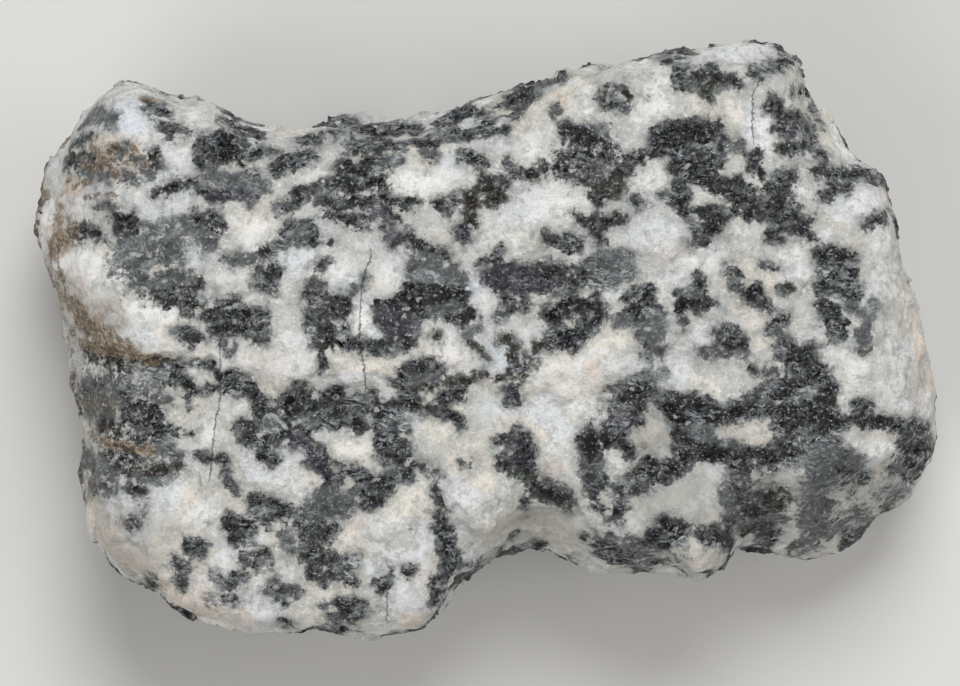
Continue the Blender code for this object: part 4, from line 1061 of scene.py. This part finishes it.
kept = add("ShaderNodeMapRange", {0: pattern["intergrown"], 3: 1.0, 4: INTERGROWN_KEEPS}).outputs[0]
darker = add("ShaderNodeMapRange", {0: pattern["intergrown"], 3: 0.0, 4: INTERGROWN_DARKER}).outputs[0]
inputs = {0: pattern["hornblende_mm"], 1: kept, 2: darker}
to_dark = add("ShaderNodeMath", inputs, operation="MULTIPLY_ADD").outputs[0]
for name, (plain, intergrown) in BORDER_RAGGED.items():
    amount = add("ShaderNodeMapRange", {0: pattern["intergrown"], 3: plain, 4: intergrown}).outputs[0]
    swing = add("ShaderNodeMath", {0: pattern[name], 1: 0.5}, operation="SUBTRACT").outputs[0]
    to_dark = add("ShaderNodeMath", {0: swing, 1: amount, 2: to_dark}, operation="MULTIPLY_ADD").outputs[0]
pattern["to_dark"] = to_dark
print("the border swings by noise of", [NOISES[name][0] for name in BORDER_RAGGED], "mm")

# %% The streaks' edges, made ragged, and the cracks, made crooked
STREAK_RAGGED = 2.4
CRACK_WANDER = 0.9

inputs = {0: pattern["border"], 1: STREAK_RAGGED, 2: pattern["weathered"]}
pattern["weathered_edge"] = add("ShaderNodeMath", inputs, operation="MULTIPLY_ADD").outputs[0]
sideways = add("ShaderNodeMath", {0: pattern["fine_border"], 1: 0.5}, operation="SUBTRACT").outputs[0]
inputs = {0: sideways, 1: CRACK_WANDER, 2: pattern["crack_mm"]}
crooked = add("ShaderNodeMath", inputs, operation="MULTIPLY_ADD").outputs[0]
pattern["beside_crack"] = add("ShaderNodeMath", {0: crooked}, operation="ABSOLUTE").outputs[0]
print("cracks wander by up to", CRACK_WANDER / 2, "mm")

# %% Shares: the pattern, its value where the share is nothing and where it is full, and the full share
SHARES = {
    "is_dark": ("to_dark", 0.32, -0.32, 1.0),
    "near_dark": ("to_dark", 1.6, 0.0, 0.8),
    "near_pale": ("to_dark", -1.0, 0.0, 0.6),
    "cloudy": ("cloudy", 0.4, 0.66, 1.0),
    "cluster": ("cloudy", 0.5, 0.62, 1.0),
    "cream_crystal": ("feldspar_first", 0.55, 0.6, 0.6),
    "blue_crystal": ("feldspar_second", 0.62, 0.67, 0.6),
    "grey_crystal": ("feldspar_third", 0.72, 0.77, 0.6),
    "blotch": ("patchy", 0.5, 0.38, 0.75),
    "crystal_edge": ("feldspar_away", 0.62, 0.8, 0.3),
    "sugar_light": ("sugar", 0.52, 0.66, 0.4),
    "sugar_shade": ("sugar", 0.45, 0.28, 0.35),
    "veins": ("veins", 0.54, 0.63, 0.5),
    "patchy": ("patchy", 0.36, 0.6, 1.0),
    "pepper": ("pepper", 0.64, 0.7, 0.75),
    "intergrown": ("intergrown", 0.0, 1.0, 1.0),
    "splinter": ("splinter", 0.44, 0.62, 1.0),
    "shade": ("shade", 0.55, 0.43, 0.8),
    # Where the hornblende gets painted sheen: whole crystals and single cleavage faces are lightened as if
    # they faced the light.
    "lit_crystal_sheen": ("hornblende_first", 0.68, 0.78, 0.42),
    "black_crystal": ("hornblende_second", 0.44, 0.36, 0.55),
    "lit_face_sheen": ("cleavage_first", 0.8, 0.86, 0.25),
    "black_face": ("cleavage_second", 0.34, 0.28, 0.5),
    "pale_speck": ("cleavage_third", 0.89, 0.92, 0.5),
    "speck_middle": ("cleavage_away", 0.5, 0.36, 1.0),
    "flake": ("flake", 0.58, 0.74, 0.5),
    # Painted glints: tiny cleavage faces made bright in the colour.
    "glint": ("glint_first", 0.965, 0.975, 0.6),
    "glint_middle": ("glint_away", 0.45, 0.25, 1.0),
    "fibre_dark": ("fibre", 0.5, 0.4, 0.9),
    "fibre_light": ("fibre", 0.52, 0.6, 0.85),
    "rust_patch": ("patchy", 0.34, 0.58, 1.0),
    "warm": ("warm", 0.0, 1.0, 0.7),
    "cool": ("cool", 0.0, 1.0, 0.9),
    # Painted shade, with some dull grey feldspar: the dull spots grey slopes that turn from the light.
    "dull_and_shaded": ("dull_and_shaded", 0.0, 1.0, 0.75),
    # Painted light, with some whiter feldspar: the white spots brighten slopes the lamps leave dim.
    "white_and_lit": ("white_and_lit", 0.0, 1.0, 0.9),
    "rust": ("rust", 0.0, 1.0, 0.75),
    "weathered": ("weathered_edge", 1.55, 1.95, 0.8),
    "crack": ("beside_crack", 0.17, 0.05, 0.7),
    "crack_sure": ("crack_sure", 0.0, 1.0, 1.0),
    "black": ("tone_black", 0.0, 1.0, 0.65),
    "grey": ("tone_grey", 0.0, 1.0, 0.38),
    "brown": ("tone_brown", 0.0, 1.0, 0.5),
    "violet": ("tone_violet", 0.0, 1.0, 0.45),
    "olive": ("tone_olive", 0.0, 1.0, 0.5),
}
share = {}
for name, (source, nothing, full, most) in SHARES.items():
    inputs = {0: pattern[source], 1: nothing, 2: full, 3: 0.0, 4: most}
    share[name] = add("ShaderNodeMapRange", inputs, interpolation_type="SMOOTHSTEP").outputs[0]
print("shares:", len(share))

# %% Coats of colour: a first colour, then tints, each with the shares that limit it
# The rock is plagioclase with a coat of hornblende, then rust, weathered fibres and cracks.
PLAGIOCLASE = "#E3E3E0"
PLAGIOCLASE_COATS = [
    ("#C4C4C0", ["cloudy"]),
    ("#DDD5C8", ["cream_crystal"]),
    ("#D5DAE0", ["blue_crystal"]),
    ("#B3B3AE", ["grey_crystal"]),
    ("#B4B4AF", ["blotch"]),
    ("#DAC8B7", ["warm"]),
    ("#D8DFE8", ["cool"]),
    # Painted light, partly whiter feldspar: the white spots brighten slopes the lamps leave dim.
    ("#F2F2F0", ["white_and_lit"]),
    ("#B0B0AC", ["crystal_edge"]),
    ("#F4F4F2", ["sugar_light"]),
    ("#A2A19C", ["sugar_shade"]),
    ("#9FA2A0", ["veins"]),
    # Painted shade, partly dull grey feldspar: the dull spots grey slopes that turn from the light.
    ("#A3A29D", ["dull_and_shaded"]),
    ("#8B8F8C", ["near_dark", "patchy"]),
    ("#4A4C4D", ["pepper", "near_dark"]),
    ("#46484A", ["pepper", "intergrown"]),
]
HORNBLENDE = "#0E0F11"
HORNBLENDE_COATS = [
    ("#8C9094", ["splinter"]),
    # Painted sheen: whole crystals are lightened and their streaks made bright, as if their cleavage faces
    # caught the light.
    ("#8E9295", ["lit_crystal_sheen"]),
    ("#E2E5E7", ["lit_crystal_sheen", "splinter"]),
    ("#0D0E0F", ["black_crystal"]),
    # Painted sheen: single cleavage faces lightened as if they faced the light.
    ("#A4A8AB", ["lit_face_sheen"]),
    ("#0D0E0F", ["black_face"]),
    ("#17181A", ["shade"]),
    ("#45414C", ["violet"]),
    ("#3A3128", ["brown"]),
    ("#3E4534", ["olive"]),
    ("#141517", ["black"]),
    ("#7E8284", ["grey"]),
    ("#B4B7B9", ["flake"]),
    ("#7C807F", ["near_pale", "patchy"]),
    ("#CDCFCC", ["pale_speck", "speck_middle", "cluster"]),
    # Painted glints on single tiny cleavage faces.
    ("#E4E7E9", ["glint", "glint_middle", "cluster"]),
]
IRON_STAINED = "#6C5C4A"
IRON_STAINED_COATS = [
    ("#312A23", ["fibre_dark"]),
    ("#AA9A82", ["fibre_light"]),
    ("#DAD4C8", ["flake"]),
]
ROCK_COATS = [
    ("hornblende", ["is_dark"]),
    ("#80664A", ["rust", "rust_patch"]),
    ("iron_stained", ["weathered"]),
    ("#29292A", ["crack", "crack_sure"]),
]
print("coats:", len(PLAGIOCLASE_COATS + HORNBLENDE_COATS + IRON_STAINED_COATS + ROCK_COATS))

# %% Lay the coats, each over the ones before it
LAYERS = {
    "plagioclase": (PLAGIOCLASE, PLAGIOCLASE_COATS),
    "hornblende": (HORNBLENDE, HORNBLENDE_COATS),
    "iron_stained": (IRON_STAINED, IRON_STAINED_COATS),
    "rock": ("plagioclase", ROCK_COATS),
}
coated = {}


def paint(colour):
    """A hex colour's value, or the output of the layer that has this name."""
    return coated[colour] if colour in coated else (*linear(colour), 1.0)


for name, (first, coats) in LAYERS.items():
    colour = paint(first)
    for tint, limits in coats:
        amount = share[limits[0]]
        for limit in limits[1:]:
            amount = add("ShaderNodeMath", {0: amount, 1: share[limit]}, operation="MULTIPLY").outputs[0]
        inputs = {0: amount, 6: colour, 7: paint(tint)}
        colour = add("ShaderNodeMix", inputs, data_type="RGBA").outputs[2]
    coated[name] = colour
tree.links.new(coated["rock"], shader.inputs["Base Color"])
print("layers:", list(coated))

# %% Gloss: feldspar gleams dully, hornblende's cleavage faces shine
# The pattern, the roughness at its low values and the roughness at its high values.
GLOSS = {"feldspar_gloss": ("sugar", 0.62, 0.42), "hornblende_gloss": ("cleavage_third", 0.55, 0.22)}
LOW_VALUES, HIGH_VALUES = 0.3, 0.7
roughness = {}
for name, (source, rough, smooth_finish) in GLOSS.items():
    inputs = {0: pattern[source], 1: LOW_VALUES, 2: HIGH_VALUES, 3: rough, 4: smooth_finish}
    roughness[name] = add("ShaderNodeMapRange", inputs).outputs[0]
inputs = {0: share["is_dark"], 2: roughness["feldspar_gloss"], 3: roughness["hornblende_gloss"]}
gloss = add("ShaderNodeMix", inputs, data_type="FLOAT").outputs[0]
tree.links.new(gloss, shader.inputs["Roughness"])
# Plagioclase has an IOR of about 1.55. A break this rough sends little of its gleam to the eye, so
# the specular level is far below the usual half.
shader.inputs["IOR"].default_value = 1.55
shader.inputs["Specular IOR Level"].default_value = 0.14
shader.inputs["Metallic"].default_value = 0.0
print("roughness runs:", GLOSS)

# %% Fine relief: heights in mm of sugar, veins, flakes and cleavage faces
HEIGHTS = {
    "plagioclase": [("sugar", 0.15), ("veins", 0.14)],
    "hornblende": [("flake", 0.1), ("cleavage_face", 0.75)],
}
RELIEF_BLEND = 0.4
height = {}
for name, parts in HEIGHTS.items():
    level = 0.0
    for source, millimetres in parts:
        inputs = {0: pattern[source], 1: millimetres, 2: level}
        level = add("ShaderNodeMath", inputs, operation="MULTIPLY_ADD").outputs[0]
    height[name] = level
inputs = {0: pattern["hornblende_mm"], 1: RELIEF_BLEND, 2: -RELIEF_BLEND}
dark_here = add("ShaderNodeMapRange", inputs).outputs[0]
inputs = {0: dark_here, 2: height["plagioclase"], 3: height["hornblende"]}
fine_relief = add("ShaderNodeMix", inputs, data_type="FLOAT").outputs[0]
bump = add("ShaderNodeBump", {"Height": fine_relief, "Distance": MM, "Strength": 1.0})
tree.links.new(bump.outputs["Normal"], shader.inputs["Normal"])
print("nodes in the rock's finish:", len(tree.nodes))

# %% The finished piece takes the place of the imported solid
stone.data.materials.clear()
stone.data.materials.append(diorite)
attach(stone, "root")
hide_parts("diorite_stone")
print("piece in place:", stone.name)

# %% [markdown]
# ## Floor, light and camera
# A plain pale floor under three wide soft lights, which reach the floor as evenly as the stone. The
# main light is high behind the stone, which is the top of the picture, so that slopes facing the
# bottom of the picture are dim. The camera looks straight down from far away with a long lens, so
# the outline is nearly without perspective.

# %% Floor
FLOOR_SIZE = 12.0
bpy.ops.mesh.primitive_plane_add(size=FLOOR_SIZE)
floor = bpy.context.object
floor.name = "studio_floor"
# Matt board scatters light evenly, so it shows no gleam.
floor_paint = bpy.data.materials.new("matt_pale_board")
floor_paint.use_nodes = True
floor_shader = floor_paint.node_tree.nodes["Principled BSDF"]
floor_shader.inputs["Base Color"].default_value = (*linear("#D8D8D6"), 1.0)
floor_shader.inputs["Roughness"].default_value = 0.9
floor.data.materials.append(floor_paint)
floor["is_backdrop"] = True
print("floor, m:", FLOOR_SIZE)

# %% Lights: where each comes from, degrees across, watts to the square metre, and colour
LIGHTS = {
    "window_behind": ((0.06, 0.5, 0.66), 31.0, 1.95, "#FFFFFF"),
    "side_fill": ((0.6, 0.05, 0.45), 38.0, 0.48, "#FFFAF4"),
    "front_fill": ((-0.45, -0.4, 0.6), 40.0, 0.84, "#FFFCF8"),
}
for name, (towards, spread, strength, colour) in LIGHTS.items():
    data = bpy.data.lights.new(name, "SUN")
    data.angle = math.radians(spread)
    data.energy = strength
    data.color = linear(colour)
    light = bpy.data.objects.new(name, data)
    light.rotation_euler = (-Vector(towards)).to_track_quat("-Z", "Y").to_euler()
    bpy.context.scene.collection.objects.link(light)
print("lights:", list(LIGHTS))

# %% The room's own light
ROOM_STRENGTH = 0.38

world = bpy.data.worlds.new("pale_room")
world.use_nodes = True
world.node_tree.nodes["Background"].inputs["Color"].default_value = (*linear("#DFDFDF"), 1.0)
world.node_tree.nodes["Background"].inputs["Strength"].default_value = ROOM_STRENGTH
bpy.context.scene.world = world
bpy.context.scene.view_settings.view_transform = "Standard"
print("room light:", ROOM_STRENGTH)

# %% Camera
PICTURE_WIDTH, PICTURE_HEIGHT = 960, 686
PIXELS_PER_MM = 7.93
STONE_MIDDLE = (486.0, 339.5)
OUTLINE_LEVEL = 24.0
CAMERA_HEIGHT = 1600.0
SENSOR_WIDTH = 36.0
FURTHEST_SEEN = 20.0

camera_data = bpy.data.cameras.new("camera")
camera = bpy.data.objects.new("camera", camera_data)
bpy.context.scene.collection.objects.link(camera)
aim_x = (PICTURE_WIDTH / 2 - STONE_MIDDLE[0]) / PIXELS_PER_MM
aim_y = (STONE_MIDDLE[1] - PICTURE_HEIGHT / 2) / PIXELS_PER_MM
camera.location = (aim_x * MM, aim_y * MM, (OUTLINE_LEVEL + CAMERA_HEIGHT) * MM)
view_width = PICTURE_WIDTH / PIXELS_PER_MM
camera_data.sensor_width = SENSOR_WIDTH
camera_data.lens = SENSOR_WIDTH * CAMERA_HEIGHT / view_width
camera_data.clip_end = FURTHEST_SEEN
bpy.context.scene.camera = camera
print("lens, mm:", round(camera_data.lens, 1))

own_low, own_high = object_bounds()
growth = (own_high - own_low) - (cad_high - cad_low)
print("size change, mm:", [round(side / MM, 2) for side in growth])
